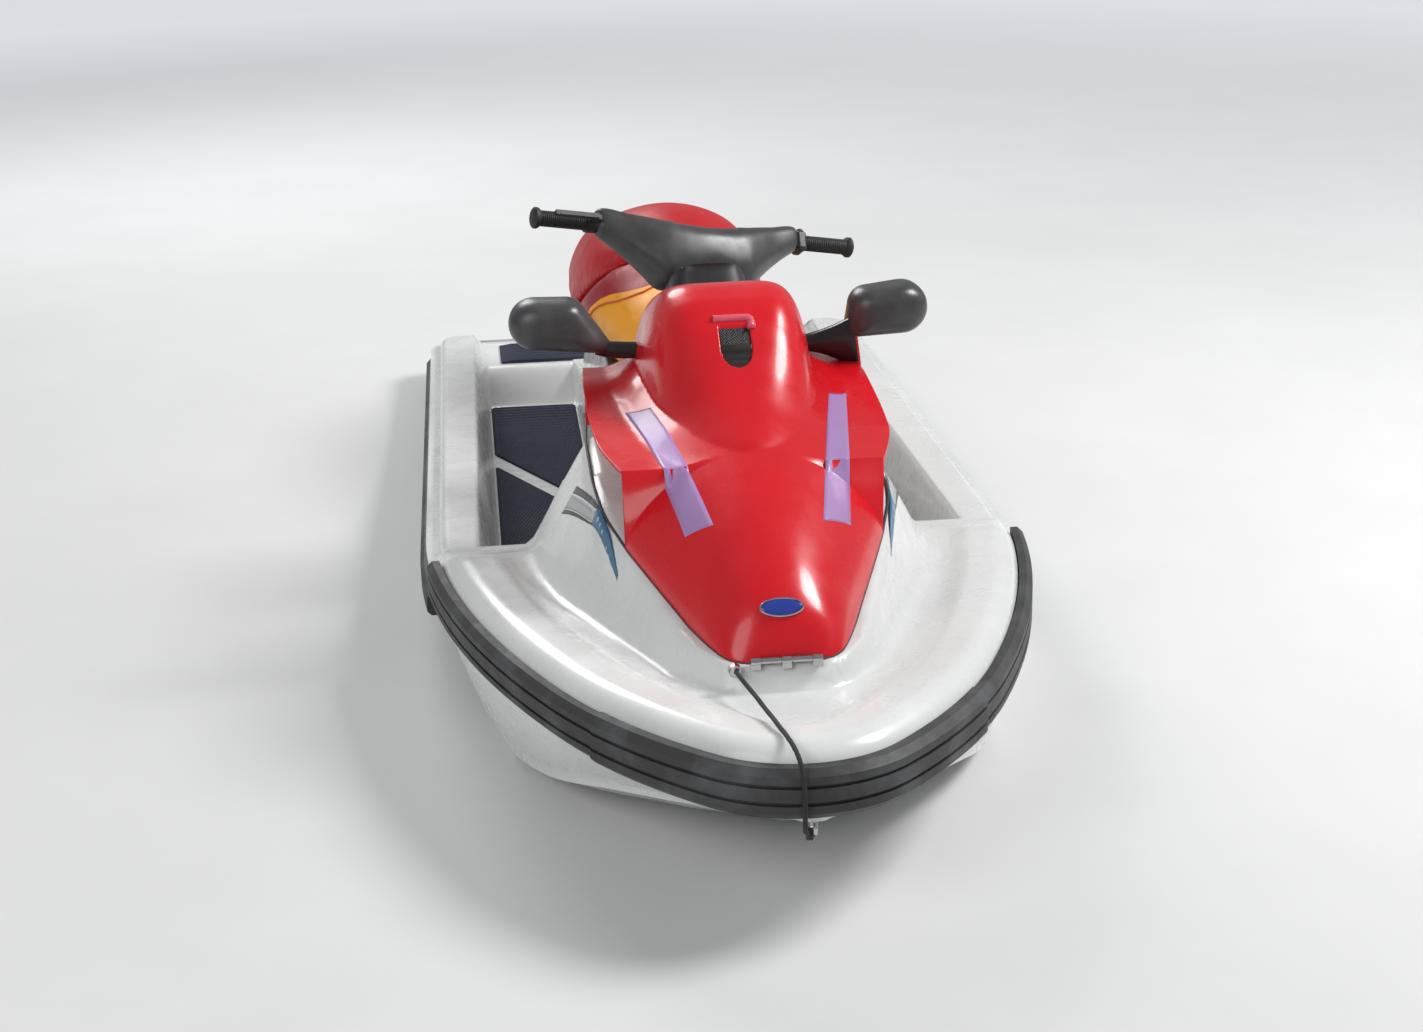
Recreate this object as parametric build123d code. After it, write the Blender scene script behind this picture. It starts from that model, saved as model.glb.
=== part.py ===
from build123d import *
import math
import os

# Personal watercraft: a three-seat jet runabout. Millimetres, +Z up, bow towards -Y, port towards +X.
# The origin is at the waterline, on the centre line, midway along the length.

# Overall sizes
LENGTH = 3150
BEAM = 1200
DRAUGHT = 235
STERN_REACH = 85
BOW_Y = -LENGTH / 2
STERN_Y = LENGTH / 2 - STERN_REACH
FIT = 0.3
SKY = LENGTH / 2
MIN_ROUND = 12


def up(height):
    """Height above the keel line, as a z."""
    return height - DRAUGHT


def fore(distance):
    """The y of a place this far aft of the bow."""
    return BOW_Y + distance


def aft(distance):
    """The y of a place this far ahead of the stern."""
    return STERN_Y - distance


# Sheer: the flat plane that deck and hull meet on, which rises towards the bow
SHEER_HEIGHT = 408
SHEER_RISE = 150
SHEER_TILT = math.atan2(SHEER_RISE, LENGTH)
SHEER = Plane(
    origin=(0, 0, up(SHEER_HEIGHT)),
    x_dir=(1, 0, 0),
    z_dir=(0, math.sin(SHEER_TILT), math.cos(SHEER_TILT)),
)

# Bow outline: arc radius as a share of the beam, and the heading that the arc ends on, in degrees
BOW_ARCS = ((1.8633, 25.7), (0.85, 46.9))
STERN_CORNER = 95

# Bumper and rub rail
BUMPER_THICK = 28
BUMPER_HALF = 41
BUMPER_LAP = 3
BUMPER_BEVEL = 11
GROOVE_AT = 14
GROOVE_WIDE = 6
GROOVE_DEEP = 5
BUMPER_JOINT_X = 293
BUMPER_JOINT_Y = fore(288)
BUMPER_BACK_Y = fore(1075)
RAIL_WIDE = 42
RAIL_TOP = -30
RAIL_TALL = 44
RAIL_BEVEL = 8
RAIL_END = 170

# Hull: sections of y, half widths at the sheer and at the chine as shares of half the beam, chine height,
# keel height
HULL_INSET = 14
HULL_SECTIONS = (
    (aft(0), 1, 0.8333, 160, 14),
    (aft(390), 1.005, 0.8467, 156, 6),
    (aft(790), 1.01, 0.85, 156, 0),
    (fore(1495), 1.01, 0.8467, 164, 0),
    (fore(1145), 1.0033, 0.825, 182, 0),
    (fore(815), 0.9583, 0.7583, 214, 10),
    (fore(545), 0.8583, 0.63, 268, 148),
    (fore(335), 0.7083, 0.4417, 338, 264),
    (fore(175), 0.5167, 0.275, 390, 351),
    (fore(65), 0.3167, 0.1333, 430, 411),
    (fore(-10), 0.1167, 0.0267, 452, 440),
)

# Deck, in heights above the sheer plane and insets from the beam
DECK_INSET = 40
GUNWALE_RISE = 27
GUNWALE_WIDE = 86
GUNWALE_ROUND = 22
SHOULDER_RISE = 68
SHOULDER_ROUND = 50
SHOULDER_BACK_Y = fore(1175)
SHOULDER_FULL_Y = fore(975)
VALLEY_INSET = 150
VALLEY_DEPTH = 16
DECK_WALL = 14

# Hood, seen from above
HOOD_HALF = 268
HOOD_KNEE_Y = fore(815)
HOOD_NOSE_HALF = 88
HOOD_NOSE_Y = fore(309)
HOOD_BACK_Y = fore(1203)
HOOD_KNEE_R = 640
HOOD_NOSE_R = 56
HOOD_WALL = 8
HOOD_DROP = 180
HOOD_SHOULDER_R = 30
SEAL_GAP = 1.0

# Hood sections: y, half width at the shoulder, shoulder height, crown height
HOOD_SECTIONS = (
    (HOOD_BACK_Y, 150, 832, 862),
    (fore(1075), 160, 822, 860),
    (fore(955), 176, 796, 850),
    (fore(815), 184, 766, 828),
    (fore(699), 166, 736, 799),
    (fore(575), 136, 704, 762),
    (fore(464), 108, 666, 716),
    (fore(375), 82, 628, 664),
    (HOOD_NOSE_Y, 58, 586, 598),
)
# Half width where the hood meets the coaming, at the same stations
HOOD_RIM_HALF = (262, 268, 268, 262, 234, 190, 148, 116, 86)

# Raised middle of the hood: y, half width at its base, half width at the top, top height
HUMP_BASE = 700
HUMP_SECTIONS = (
    (HOOD_BACK_Y, 205, 100, 945),
    (fore(1125), 205, 100, 974),
    (fore(1050), 202, 99, 992),
    (fore(935), 182, 86, 942),
    (fore(862), 158, 75, 880),
    (fore(737), 74, 47, 820),
    (fore(680), 22, 12, 792),
)

# Coaming that carries the hood: height above the keel and growth beyond the hood's plan
COAMING_STEPS = ((430, 90), (566, 22), (700, -7))
COAMING_NOSE_SHARE = 0.4

# Rim line, seen from the side: y and height above the keel
RIM_LINE = ((fore(1275), 690), (fore(815), 664), (fore(445), 574), (fore(235), 560))

# Pedestal under the seat
PEDESTAL_TOP = 590
PEDESTAL_HALF = 172
PEDESTAL_BACK_Y = aft(430)
PEDESTAL_LAP = 26

# Footwells and rear platform, heights above the keel
WELL_FLOOR = 252
WELL_FRONT_Y = HOOD_BACK_Y
WELL_BACK_Y = aft(370)
WELL_RAMP_Y = aft(250)
WELL_FRONT_SLOPE = 60
WELL_SLOPE = 34
WELL_INNER = PEDESTAL_HALF + 33
PLATFORM_HEIGHT = 338
PLATFORM_FRONT_Y = aft(410)
PLATFORM_ROUND = 24

# Vent in the raised middle
VENT_Y = fore(899)
VENT_HEIGHT = 911
VENT_TILT = 40
VENT_WIDE = 58
VENT_TALL = 92
VENT_DEEP = 40
VENT_SET = 3
VENT_PLATE = 4
VENT_SLOTS = 6
VENT_SLOT_TALL = 5
VENT_SLOT_EDGE = 6

# Oval badge on the nose, blank
BADGE_Y = fore(351)
BADGE_HEIGHT = 640
BADGE_LEAN = 45
BADGE_WIDE = 72
BADGE_TALL = 34
BADGE_THICK = 8

# Hood hinge, across the front of the coaming
HINGE_Y = HOOD_NOSE_Y - 9
HINGE_PIN_R = 3
HINGE_BARREL_R = 6.5
HINGE_CLEAR = 1.5
HINGE_BARRELS = ((-58, -42), (-8, 8), (42, 58))
HINGE_END_GAP = 1
HINGE_FOOT = 5

# Storage bin under the hood
BIN_HALF = 165
BIN_FRONT_Y = fore(545)
BIN_BACK_Y = fore(1055)
BIN_FLOOR = 330

# Engine, and the bay round it under the seat
ENGINE_WIDE = 230
ENGINE_LONG = 520
ENGINE_TALL = 330
ENGINE_Y = fore(1655)
BAY_HALF = 150
BAY_FRONT_Y = ENGINE_Y - ENGINE_LONG / 2 - 100
BAY_BACK_Y = ENGINE_Y + ENGINE_LONG / 2 + 180
BAY_FLOOR = 96

# Steering: the handlebar turns on an axis that leans aft, and rests turned towards port
STEER_LEAN = 35
STEER_Y = fore(1548)
STEER_HEIGHT = 972
STEER_REST = 20
NOZZLE_TURN = 22 / 28
BAR_HALF = 360
BAR_R = 11
GRIP_R = 16
GRIP_LONG = 100
GRIP_RINGS = 4
GRIP_RING_RISE = 2
GRIP_RING_WIDE = 8
GRIP_CAP_R = 22
GRIP_CAP_LONG = 12
GRIP_SIDES = 12
CONTROL_WIDE = 24
CONTROL_GAP = 1
PERCH_R = 20
LEVER_OUT = 44
LEVER_LONG = 92
LEVER_WIDE = 14
LEVER_THICK = 9
LEVER_DROP = 4
SWITCH_DEEP = 42
SWITCH_TALL = 44
SWITCH_BEVEL = 6
BUTTON_R = 6
COLUMN_R = 18
COLUMN_DEEP = 70
BOOT_GAP = 5
BOOT_R1 = 62
BOOT_R2 = 50

# Handlebar pad sections across the craft: x, fore-aft size, thickness, rise of its middle
PAD_SECTIONS = (
    (-220, 46, 48, 3),
    (-160, 66, 62, -10),
    (-100, 98, 98, -36),
    (0, 124, 104, -56),
    (100, 98, 98, -36),
    (160, 66, 62, -10),
    (220, 46, 48, 3),
)
PAD_R = 14

# Fixed cowl under the bars, sections of height above the keel, half width, front y, back y
COWL_TOP = 140
COWL_BEVEL = 30
COWL_SECTIONS = (
    (590, 112, fore(1213), fore(1531)),
    (780, 100, fore(1217), fore(1529)),
    (960, 66, fore(1313), fore(1517)),
)

# Shift lever on the cowl
SHIFT_X = 96
SHIFT_Y = fore(1385)
SHIFT_HEIGHT = 742
SHIFT_DISC_R = 30
SHIFT_DISC_THICK = 14
SHIFT_LONG = 96
SHIFT_WIDE = 15
SHIFT_KNOB = 26
SHIFT_BEVEL = 5

# Seat sections: share of its length, half width at the base and at the shoulder, shoulder height, crown height
SEAT_FRONT_Y = fore(1539)
SEAT_BACK_Y = aft(450)
SEAT_LOW = 606
SEAT_SECTIONS = (
    (0, 104, 70, 760, 792),
    (0.12, 132, 92, 752, 788),
    (0.28, 172, 120, 768, 812),
    (0.43, 212, 150, 792, 856),
    (0.61, 236, 172, 806, 888),
    (0.82, 238, 176, 780, 838),
    (1, 206, 150, 736, 784),
)
SEAT_SPLIT = 0.38
SEAT_R = 28
BASE_EDGE = 8
BASE_NOSE_HALF = 92
BASE_TAPER = 290
HANDLE_HEIGHT = 700
HANDLE_HALF = 121
HANDLE_REACH = 62
HANDLE_BAR = 22
HANDLE_TALL = 18
HANDLE_IN = 40
HANDLE_BEVEL = 4

# Mirrors
MIRROR_X = 322
MIRROR_Y = fore(1175)
MIRROR_HEIGHT = 896
MIRROR_WIDE = 168
MIRROR_TALL = 116
MIRROR_LOBE = 52
MIRROR_TIP = 14
MIRROR_SIDES = 12
MIRROR_RECESS = 6
MIRROR_GLASS_SCALE = 0.9
GLASS_THICK = 3

# Mirror housing steps towards the bow: offset and scale of the outline
MIRROR_STEPS = ((-32, 0.96), (-6, 1), (24, 0.86), (42, 0.4))

# Mirror stalks: side-view sizes at foot and head
STALK_FOOT_X = 130
STALK_FOOT_HEIGHT = 824
STALK_FOOT_DEEP = 34
STALK_FOOT_TALL = 58
STALK_HEAD_IN = 26
STALK_HEAD_DROP = 34
STALK_HEAD_DEEP = 22
STALK_HEAD_TALL = 32
STALK_BEVEL = 8
STALK_LEAN = 0.25

# Jet pump, on its own line through the hull
PUMP_HEIGHT = 130
TUNNEL_HALF = 124
TUNNEL_TOP = 232
TUNNEL_FRONT_Y = aft(930)
TUNNEL_FULL_Y = aft(690)
BUCKET_BAY_Y = aft(190)
BUCKET_BAY_TOP = 306
BUCKET_BAY_HALF = 172
GRATE_LOW = 24
GRATE_TALL = 12
GRATE_LONG = TUNNEL_FULL_Y + 12 - TUNNEL_FRONT_Y
GRATE_EDGE = 14
GRATE_END = 18
GRATE_BAR = 8
GRATE_BARS = 7
RIDE_THICK = 8
RIDE_RIB_X = 60
RIDE_RIB_WIDE = 10
RIDE_RIB_END = 20
DUCT_R = 78
DUCT_WALL = 9
FLANGE = 8
RING_Y = aft(410)
RING_LONG = 96
STATOR_BACK_Y = aft(144)
OUTLET_R = 34
OUTLET_WALL = 6
OUTLET_BACK_Y = aft(114)
PLATE_THICK = 14
SHAFT_R = 12
SHAFT_FIT = 0.06
SHAFT_CLEAR = 3
HUB_R = 30
HUB_TIP_R = 12
VANE_COUNT = 6
VANE_THICK = 5
VANE_LEAN = 10
SHAFT_IN = 60
BLADE_COUNT = 3
BLADE_THICK = 5
BLADE_TWIST = 70
BLADE_CLEAR = 1

# Steering nozzle and reverse bucket, both pivoted just behind the pump
PIVOT_Y = aft(98)
NOZZLE_FRONT = 10
NOZZLE_BACK = 100
NOZZLE_R1 = 54
NOZZLE_R2 = 44
NOZZLE_WALL = 6
NOZZLE_REST = -STEER_REST * NOZZLE_TURN
TRUNNION_R = 7
TRUNNION_OUT = 72
LUG_GAP = 3
LUG_THICK = 10
LUG_HALF = 16
BUCKET_R = 118
BUCKET_WALL = 6
BUCKET_HALF = 92
BUCKET_FROM = 40
BUCKET_TO = 128
BUCKET_PIN_R = 6
BUCKET_HUB_R = 18
BRACKET_GAP = 3
BRACKET_THICK = 8
BRACKET_HALF = 20

# Mats: each footwell has two pads with a slanting gap between them
MAT_THICK = 6
MAT_EDGE = 7
MAT_SPLIT_INNER_Y = fore(1865)
MAT_SPLIT_OUTER_Y = fore(2270)
MAT_GAP = 90
PLATFORM_MAT_EDGE = 74
PLATFORM_MAT_ROUND = 30

# Sponsons, eyes and plugs
SPONSON_OUT = 40
SPONSON_WIDE = 60
SPONSON_LOW = 176
SPONSON_TALL = 42
SPONSON_SLOPE = 90
SPONSON_FRONT_Y = aft(630)
SPONSON_BACK_Y = aft(90)
EYE_R = 4
EYE_HALF = 15
EYE_REACH = 20
EYE_ROUND = 10
EYE_Y = fore(32)
EYE_HEIGHT = 427
EYE_LEAN = 65
STERN_EYE_X = 330
STERN_EYE_HEIGHT = 270
STERN_EYE_REACH = 34
PLUG_X = 240
PLUG_HEIGHT = 124
PLUG_R = 18
PLUG_OUT = 10
PLUG_BAR = 8

# Bow line: tied to the bow eye, up over the bumper and straight to a grommet in the coaming.
# Route: x, y, height above the keel
LINE_R = 4
LINE_ROUTE = (
    (-7, fore(23), 409),
    (-15, fore(7), 418),
    (-18, fore(-5), 440),
    (-18, fore(-7), 472),
    (-19, fore(-6), 504),
    (-21, fore(4), 531),
    (-26, fore(26), 548),
    (-36, fore(70), 556),
    (-84, fore(296), 560),
)
LINE_BEND = 0.45
KNOT_R = 9
KNOT_LONG = 16
KNOT_BEVEL = 4
GROMMET_R = 11
GROMMET_OUT = 8
GROMMET_BEVEL = 2
BUSH_SIDES = 8


def box(x0, x1, y0, y1, z0, z1):
    """A block between two corners."""
    block = Box(abs(x1 - x0), abs(y1 - y0), abs(z1 - z0))
    return Pos((x0 + x1) / 2, (y0 + y1) / 2, (z0 + z1) / 2) * block


def side_prism(points, half):
    """A side-view polygon of y and z, drawn out both ways along x."""
    face = make_face(Polyline(*[(0, y, z) for y, z in points], close=True))
    return extrude(face, amount=half, dir=(1, 0, 0), both=True)


def save(shape, node):
    """One STEP file for a node."""
    export_step(shape, "parts/" + node + ".step")


def bow_arcs():
    """The three tangent arcs of the port bow: centre, radius, start and end heading."""
    arcs = []
    heading = 0
    x, y = BEAM / 2, 0
    for share, end in BOW_ARCS + ((None, 90),):
        c, s = math.cos(math.radians(heading)), math.sin(math.radians(heading))
        radius = x / c if share is None else share * BEAM
        cx, cy = x - radius * c, y + radius * s
        arcs.append((cx, cy, radius, heading, end))
        x = cx + radius * math.cos(math.radians(end))
        y = cy - radius * math.sin(math.radians(end))
        heading = end
    shift = BOW_Y - y
    return [(cx, cy + shift, radius, a, b) for cx, cy, radius, a, b in arcs]


def plan(inset):
    """The craft's plan outline as a face, inset from the beam."""
    arcs = bow_arcs()
    stern = STERN_Y - inset
    half = BEAM / 2 - inset
    edges = [Line((half, stern), (half, arcs[0][1]))]
    for cx, cy, radius, a, b in arcs:
        edges.append(CenterArc((cx, cy), radius - inset, -a, a - b))
    edges += [mirror(e, Plane.YZ) for e in edges]
    edges.append(Line((half, stern), (-half, stern)))
    corners = make_face(edges).vertices().group_by(Axis.Y)[-1]
    return fillet(corners, max(STERN_CORNER - inset, MIN_ROUND))


def slab(inset, low, high):
    """The plan outline drawn out from the sheer plane, from one height to another."""
    return extrude(SHEER.offset(low) * plan(inset), amount=high - low)


def sheer_z(y):
    """The sheer plane's z at a station."""
    return up(SHEER_HEIGHT) - y * math.tan(SHEER_TILT)


def transom_y(height):
    """The transom's y at a height above the keel: it stands square to the sheer plane."""
    stern = STERN_Y - HULL_INSET
    return stern - (sheer_z(stern) - up(height)) * math.tan(SHEER_TILT)


def hood_plan(grow, back=None):
    """The hood's plan as a face, grown or shrunk all round."""
    half, nose = HOOD_HALF + grow, HOOD_NOSE_HALF + grow
    back = HOOD_BACK_Y if back is None else back
    nose_y = HOOD_NOSE_Y - grow * (COAMING_NOSE_SHARE if grow > 0 else 1)
    points = ((-half, back), (-half, HOOD_KNEE_Y), (-nose, nose_y))
    outline = list(points) + [(-x, y) for x, y in reversed(points)]
    face = make_face(Polyline(*outline, close=True))
    knees = face.vertices().filter_by(lambda v: abs(v.Y - HOOD_KNEE_Y) < 1)
    face = fillet(knees, HOOD_KNEE_R)
    nose_ends = face.vertices().group_by(Axis.Y)[0]
    return fillet(nose_ends, HOOD_NOSE_R)


def rim_height(y):
    """The coaming rim's height above the keel at a station."""
    for (y0, h0), (y1, h1) in zip(RIM_LINE, RIM_LINE[1:]):
        if y >= y1:
            break
    return h0 + (h1 - h0) * (y - y0) / (y1 - y0)


def above_rim(lift):
    """Everything above the rim line, lifted square to it by a gap."""
    line = [(y, up(h) + lift) for y, h in RIM_LINE]
    return side_prism(line + [(RIM_LINE[-1][0], SKY), (RIM_LINE[0][0], SKY)], BEAM)


def prism_loft(sections):
    """A loft with straight sides through faces, or through sections given as tuples of corners."""
    faces = [make_face(Polyline(*s, close=True)) if isinstance(s, tuple) else s for s in sections]
    return loft(faces, ruled=True)


def crowned(y, half, shoulder, low, shoulder_height, crown_height, bevel):
    """A cross-section at a station: sloping sides, bevelled shoulders and an arched top."""
    rise = crown_height - shoulder_height
    inner = 1 - bevel / shoulder
    flare = (half - shoulder) * bevel / (shoulder_height - low)
    right = [(half, low), (shoulder + flare, shoulder_height - bevel)]
    right += [(shoulder * share, crown_height - rise * share ** 2) for share in (inner, inner / 2)]
    left = [(-x, height) for x, height in reversed(right)]
    return tuple((x, y, up(height)) for x, height in right + [(0, crown_height)] + left)


def bevelled(wide, tall, bevel):
    """A rectangle with its corners cut off."""
    return chamfer(Rectangle(wide, tall).vertices(), bevel)


# Hull and deck

def hull_body():
    """The hull below the sheer: a vee bottom with chines, lofted from stern to bow."""
    sections = []
    for y, sheer_share, chine_share, chine_height, keel_height in HULL_SECTIONS:
        half, chine = BEAM / 2 * sheer_share, BEAM / 2 * chine_share
        top = sheer_z(y) + BUMPER_HALF
        right = ((chine, y, up(chine_height)), (half, y, top))
        left = ((-half, y, top), (-chine, y, up(chine_height)))
        sections.append(((0, y, up(keel_height)), *right, *left))
    return prism_loft(sections) & slab(HULL_INSET, -SHEER_HEIGHT - SHEER_RISE, 0)


def pump_tunnel():
    """The space for the jet pump in the hull's bottom, open at the transom."""
    low, top = up(-60), up(TUNNEL_TOP)
    duct = (
        (TUNNEL_FRONT_Y, low),
        (TUNNEL_FRONT_Y, up(GRATE_LOW + GRATE_TALL)),
        (TUNNEL_FULL_Y, top),
        (STERN_Y + 10, top),
        (STERN_Y + 10, low),
    )
    bay = (
        (BUCKET_BAY_Y, low),
        (BUCKET_BAY_Y, up(BUCKET_BAY_TOP)),
        (STERN_Y + 10, up(BUCKET_BAY_TOP)),
        (STERN_Y + 10, low),
    )
    return side_prism(duct, TUNNEL_HALF) + side_prism(bay, BUCKET_BAY_HALF)


def engine_bay():
    return box(-BAY_HALF, BAY_HALF, BAY_FRONT_Y, BAY_BACK_Y, up(BAY_FLOOR), SKY)


def bin_space():
    return box(-BIN_HALF, BIN_HALF, BIN_FRONT_Y, BIN_BACK_Y, up(BIN_FLOOR), SKY)


def footwell(side):
    """One footwell's space: a flat floor, a sloping outer wall and a ramp up to the platform."""
    wide = BEAM / 2 - DECK_INSET - GUNWALE_WIDE
    floor = up(WELL_FLOOR)
    profile = (
        (WELL_INNER, SKY),
        (WELL_INNER, floor),
        (wide - WELL_SLOPE, floor),
        (wide, sheer_z(WELL_BACK_Y)),
        (wide, SKY),
    )
    face = make_face(Polyline(*[(side * x, WELL_FRONT_Y, z) for x, z in profile], close=True))
    trough = extrude(face, amount=WELL_RAMP_Y - WELL_FRONT_Y, dir=(0, 1, 0))
    ramp = side_prism(
        (
            (WELL_FRONT_Y - 1, SKY),
            (WELL_FRONT_Y - 1, floor + WELL_FRONT_SLOPE),
            (WELL_FRONT_Y + WELL_FRONT_SLOPE, floor),
            (WELL_BACK_Y, floor),
            (WELL_RAMP_Y, up(PLATFORM_HEIGHT)),
            (WELL_RAMP_Y, SKY),
        ),
        BEAM,
    )
    return trough & ramp


def platform_space():
    """What is cut away above the flat platform behind the seat, open at the stern."""
    half = BEAM / 2 - DECK_INSET - GUNWALE_WIDE
    inner = box(-half, half, PLATFORM_FRONT_Y, STERN_Y + GUNWALE_WIDE, up(PLATFORM_HEIGHT), SKY)
    corners = inner.edges().filter_by(Axis.Y).group_by(Axis.Z)[0]
    return fillet(corners, PLATFORM_ROUND)


def rail_reach(side):
    """The stretch of one side, and round its stern corner, that the rub rail covers."""
    return box(side * (BEAM / 2 - RAIL_END), side * BEAM, BUMPER_BACK_Y, STERN_Y, -SKY, SKY)


def build_hull():
    """White lower hull, with its bays open to the deck and a step for the rub rails."""
    front, back = BAY_BACK_Y - DECK_WALL, TUNNEL_FULL_Y
    shaft_hole = Rot(90, 0, 0) * Cylinder(SHAFT_R + SHAFT_CLEAR, back - front)
    shape = hull_body() - pump_tunnel() - engine_bay() - bin_space()
    shape -= Pos(0, (front + back) / 2, up(PUMP_HEIGHT)) * shaft_hole
    low = RAIL_TOP - RAIL_TALL
    step = slab(-1, low, 1) - slab(RAIL_WIDE + FIT, low - 1, 2)
    for side in (-1, 1):
        shape -= footwell(side)
        shape -= step & rail_reach(side)
    return shape - platform_space()


def shoulder_deck():
    """The raised foredeck: rounded shoulders with a shallow valley inside them, sloping down aft."""
    shape = slab(BUMPER_THICK, 0, SHOULDER_RISE)
    rim = shape.edges().group_by(Axis(SHEER.origin, SHEER.z_dir))[-1]
    shape = fillet(rim, SHOULDER_ROUND)
    back = (
        (BOW_Y, sheer_z(BOW_Y) - BUMPER_HALF),
        (SHOULDER_BACK_Y, sheer_z(SHOULDER_BACK_Y) - BUMPER_HALF),
        (SHOULDER_BACK_Y, sheer_z(SHOULDER_BACK_Y) + GUNWALE_RISE),
        (SHOULDER_FULL_Y, sheer_z(SHOULDER_FULL_Y) + SHOULDER_RISE),
        (SHOULDER_FULL_Y, SKY),
        (BOW_Y, SKY),
    )
    valley = slab(VALLEY_INSET, SHOULDER_RISE - VALLEY_DEPTH, 2 * SHOULDER_RISE)
    return (shape & side_prism(back, BEAM)) - valley


def coaming_form():
    """The raised middle of the foredeck, which carries the hood on its rim."""
    faces = [Pos(0, 0, up(height)) * hood_plan(grow, HOOD_BACK_Y) for height, grow in COAMING_STEPS]
    return loft(faces, ruled=True) - above_rim(0)


def pedestal_form():
    """The box under the seat, from the coaming back to the platform."""
    points = (
        (HOOD_BACK_Y - PEDESTAL_LAP, up(PEDESTAL_TOP)),
        (PEDESTAL_BACK_Y - PEDESTAL_LAP, up(PEDESTAL_TOP)),
        (PEDESTAL_BACK_Y, up(PLATFORM_HEIGHT) - DECK_WALL),
        (HOOD_BACK_Y - PEDESTAL_LAP, up(WELL_FLOOR) - DECK_WALL),
    )
    return side_prism(points, PEDESTAL_HALF)


def build_deck(hull):
    """White deck moulding: gunwales, shoulders and the strips beside the pedestal."""
    shape = slab(DECK_INSET, 0, GUNWALE_RISE)
    rim = shape.edges().group_by(Axis(SHEER.origin, SHEER.z_dir))[-1]
    shape = fillet(rim, GUNWALE_ROUND)
    shape += shoulder_deck()
    for side in (-1, 1):
        shape -= footwell(side)
    return shape - platform_space() - bin_space() - engine_bay() - hull


def build_coaming(deck, hull):
    """The coaming, standing on the foredeck round the storage bin."""
    return coaming_form() - bin_space() - deck - hull


def build_pedestal(deck, hull, coaming):
    """The pedestal, open to the engine bay."""
    return pedestal_form() - engine_bay() - bin_space() - deck - hull - coaming


def pipe(points, radius, bend):
    """An eight-sided bar along straight runs with equal bends."""
    path = FilletPolyline(*points, radius=bend)
    end = Plane(origin=path @ 0, z_dir=path % 0)
    return sweep(end * RegularPolygon(radius, 8), path=path)


def lathe(points):
    """A profile of radius and y, turned about the pump's line."""
    face = make_face(Polyline(*[(r, y, 0) for r, y in points], close=True))
    return Pos(0, 0, up(PUMP_HEIGHT)) * revolve(face, axis=Axis.Y)


def both_sides(shape):
    """A piece and its mirror image across the centre line."""
    return shape + mirror(shape, Plane.YZ)


# Bumper and rub rail

def bow_wedge(gap):
    """A wedge in plan that takes the bow piece of the bumper, its sides square to the moulding."""
    far = BEAM * 2
    tip = BUMPER_JOINT_Y + BUMPER_JOINT_X - gap
    face = make_face(Polyline((0, tip, -SKY), (far, tip - far, -SKY), (-far, tip - far, -SKY), close=True))
    return extrude(face, amount=2 * SKY, dir=(0, 0, 1))


def bumper_ring(lap):
    """The bumper's section all round: a bevelled band with two grooves along it."""
    half = BUMPER_HALF - lap
    band = slab(lap, -half, half)
    rims = band.edges().group_by(Axis(SHEER.origin, SHEER.z_dir))
    band = chamfer(rims[0] + rims[-1], BUMPER_BEVEL)
    for middle in (-GROOVE_AT, GROOVE_AT):
        low, high = middle - GROOVE_WIDE / 2, middle + GROOVE_WIDE / 2
        band -= slab(-1, low, high) - slab(lap + GROOVE_DEEP, low - 1, high + 1)
    band -= slab(HULL_INSET, -2 * half, 0)
    return band - slab(BUMPER_THICK, -1, 2 * half)


def build_bumper_bow():
    """The bumper's bow piece, a little larger than the side pieces that it meets."""
    return bumper_ring(0) & bow_wedge(0)


def build_bumper_side(side):
    """One side of the bumper, from the bow piece back to the footwell."""
    ring = bumper_ring(BUMPER_LAP) & box(0, side * BEAM, BOW_Y, BUMPER_BACK_Y, -SKY, SKY)
    return ring - bow_wedge(0)


def build_rail(side):
    """The rub rail along one side and round the stern corner."""
    low = RAIL_TOP - RAIL_TALL
    band = slab(0, low, RAIL_TOP)
    rims = band.edges().group_by(Axis(SHEER.origin, SHEER.z_dir))
    band = chamfer(rims[0] + rims[-1], RAIL_BEVEL)
    return (band - slab(RAIL_WIDE, low - 1, RAIL_TOP + 1)) & rail_reach(side)


# Hood and what it carries

def hood_loft(wall):
    """The hood's main form, shrunk by a wall for its inside."""
    faces = []
    for (y, shoulder, shoulder_height, crown_height), rim in zip(HOOD_SECTIONS, HOOD_RIM_HALF):
        flare = (rim - shoulder) / (shoulder_height - rim_height(y)) * HOOD_DROP
        low = shoulder_height - HOOD_DROP
        top = shoulder - wall
        sizes = (y, top + flare, top, low - wall, shoulder_height - wall, crown_height - wall)
        faces.append(crowned(*sizes, HOOD_SHOULDER_R * shoulder / HOOD_HALF))
    return prism_loft(faces)


def hump_loft(wall):
    """The raised middle of the hood, from its back to its tip."""
    sections = []
    for y, foot, top, height in HUMP_SECTIONS:
        low, high = up(HUMP_BASE), up(height) - wall
        foot, top = foot - wall, top - wall / 2
        sections.append(((-foot, y, low), (foot, y, low), (top, y, high), (-top, y, high)))
    return prism_loft(sections)


def vent_plane():
    """The plane of the vent, on the front slope of the raised middle."""
    lean = math.radians(VENT_TILT)
    out = (0, -math.sin(lean), math.cos(lean))
    return Plane(origin=(0, VENT_Y, up(VENT_HEIGHT)), x_dir=(1, 0, 0), z_dir=out)


def vent_shield(grow):
    """The vent's shield outline: square at the top and rounded to a point below."""
    half, top = VENT_WIDE / 2 + grow, VENT_TALL / 2 + grow
    knee = -VENT_TALL * 0.12
    edges = [
        Line((-half, top), (half, top)),
        Line((half, top), (half, knee)),
        ThreePointArc((half, knee), (half * 0.62, -top * 0.72), (0, -top)),
        ThreePointArc((0, -top), (-half * 0.62, -top * 0.72), (-half, knee)),
        Line((-half, knee), (-half, top)),
    ]
    return make_face(edges)


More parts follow.
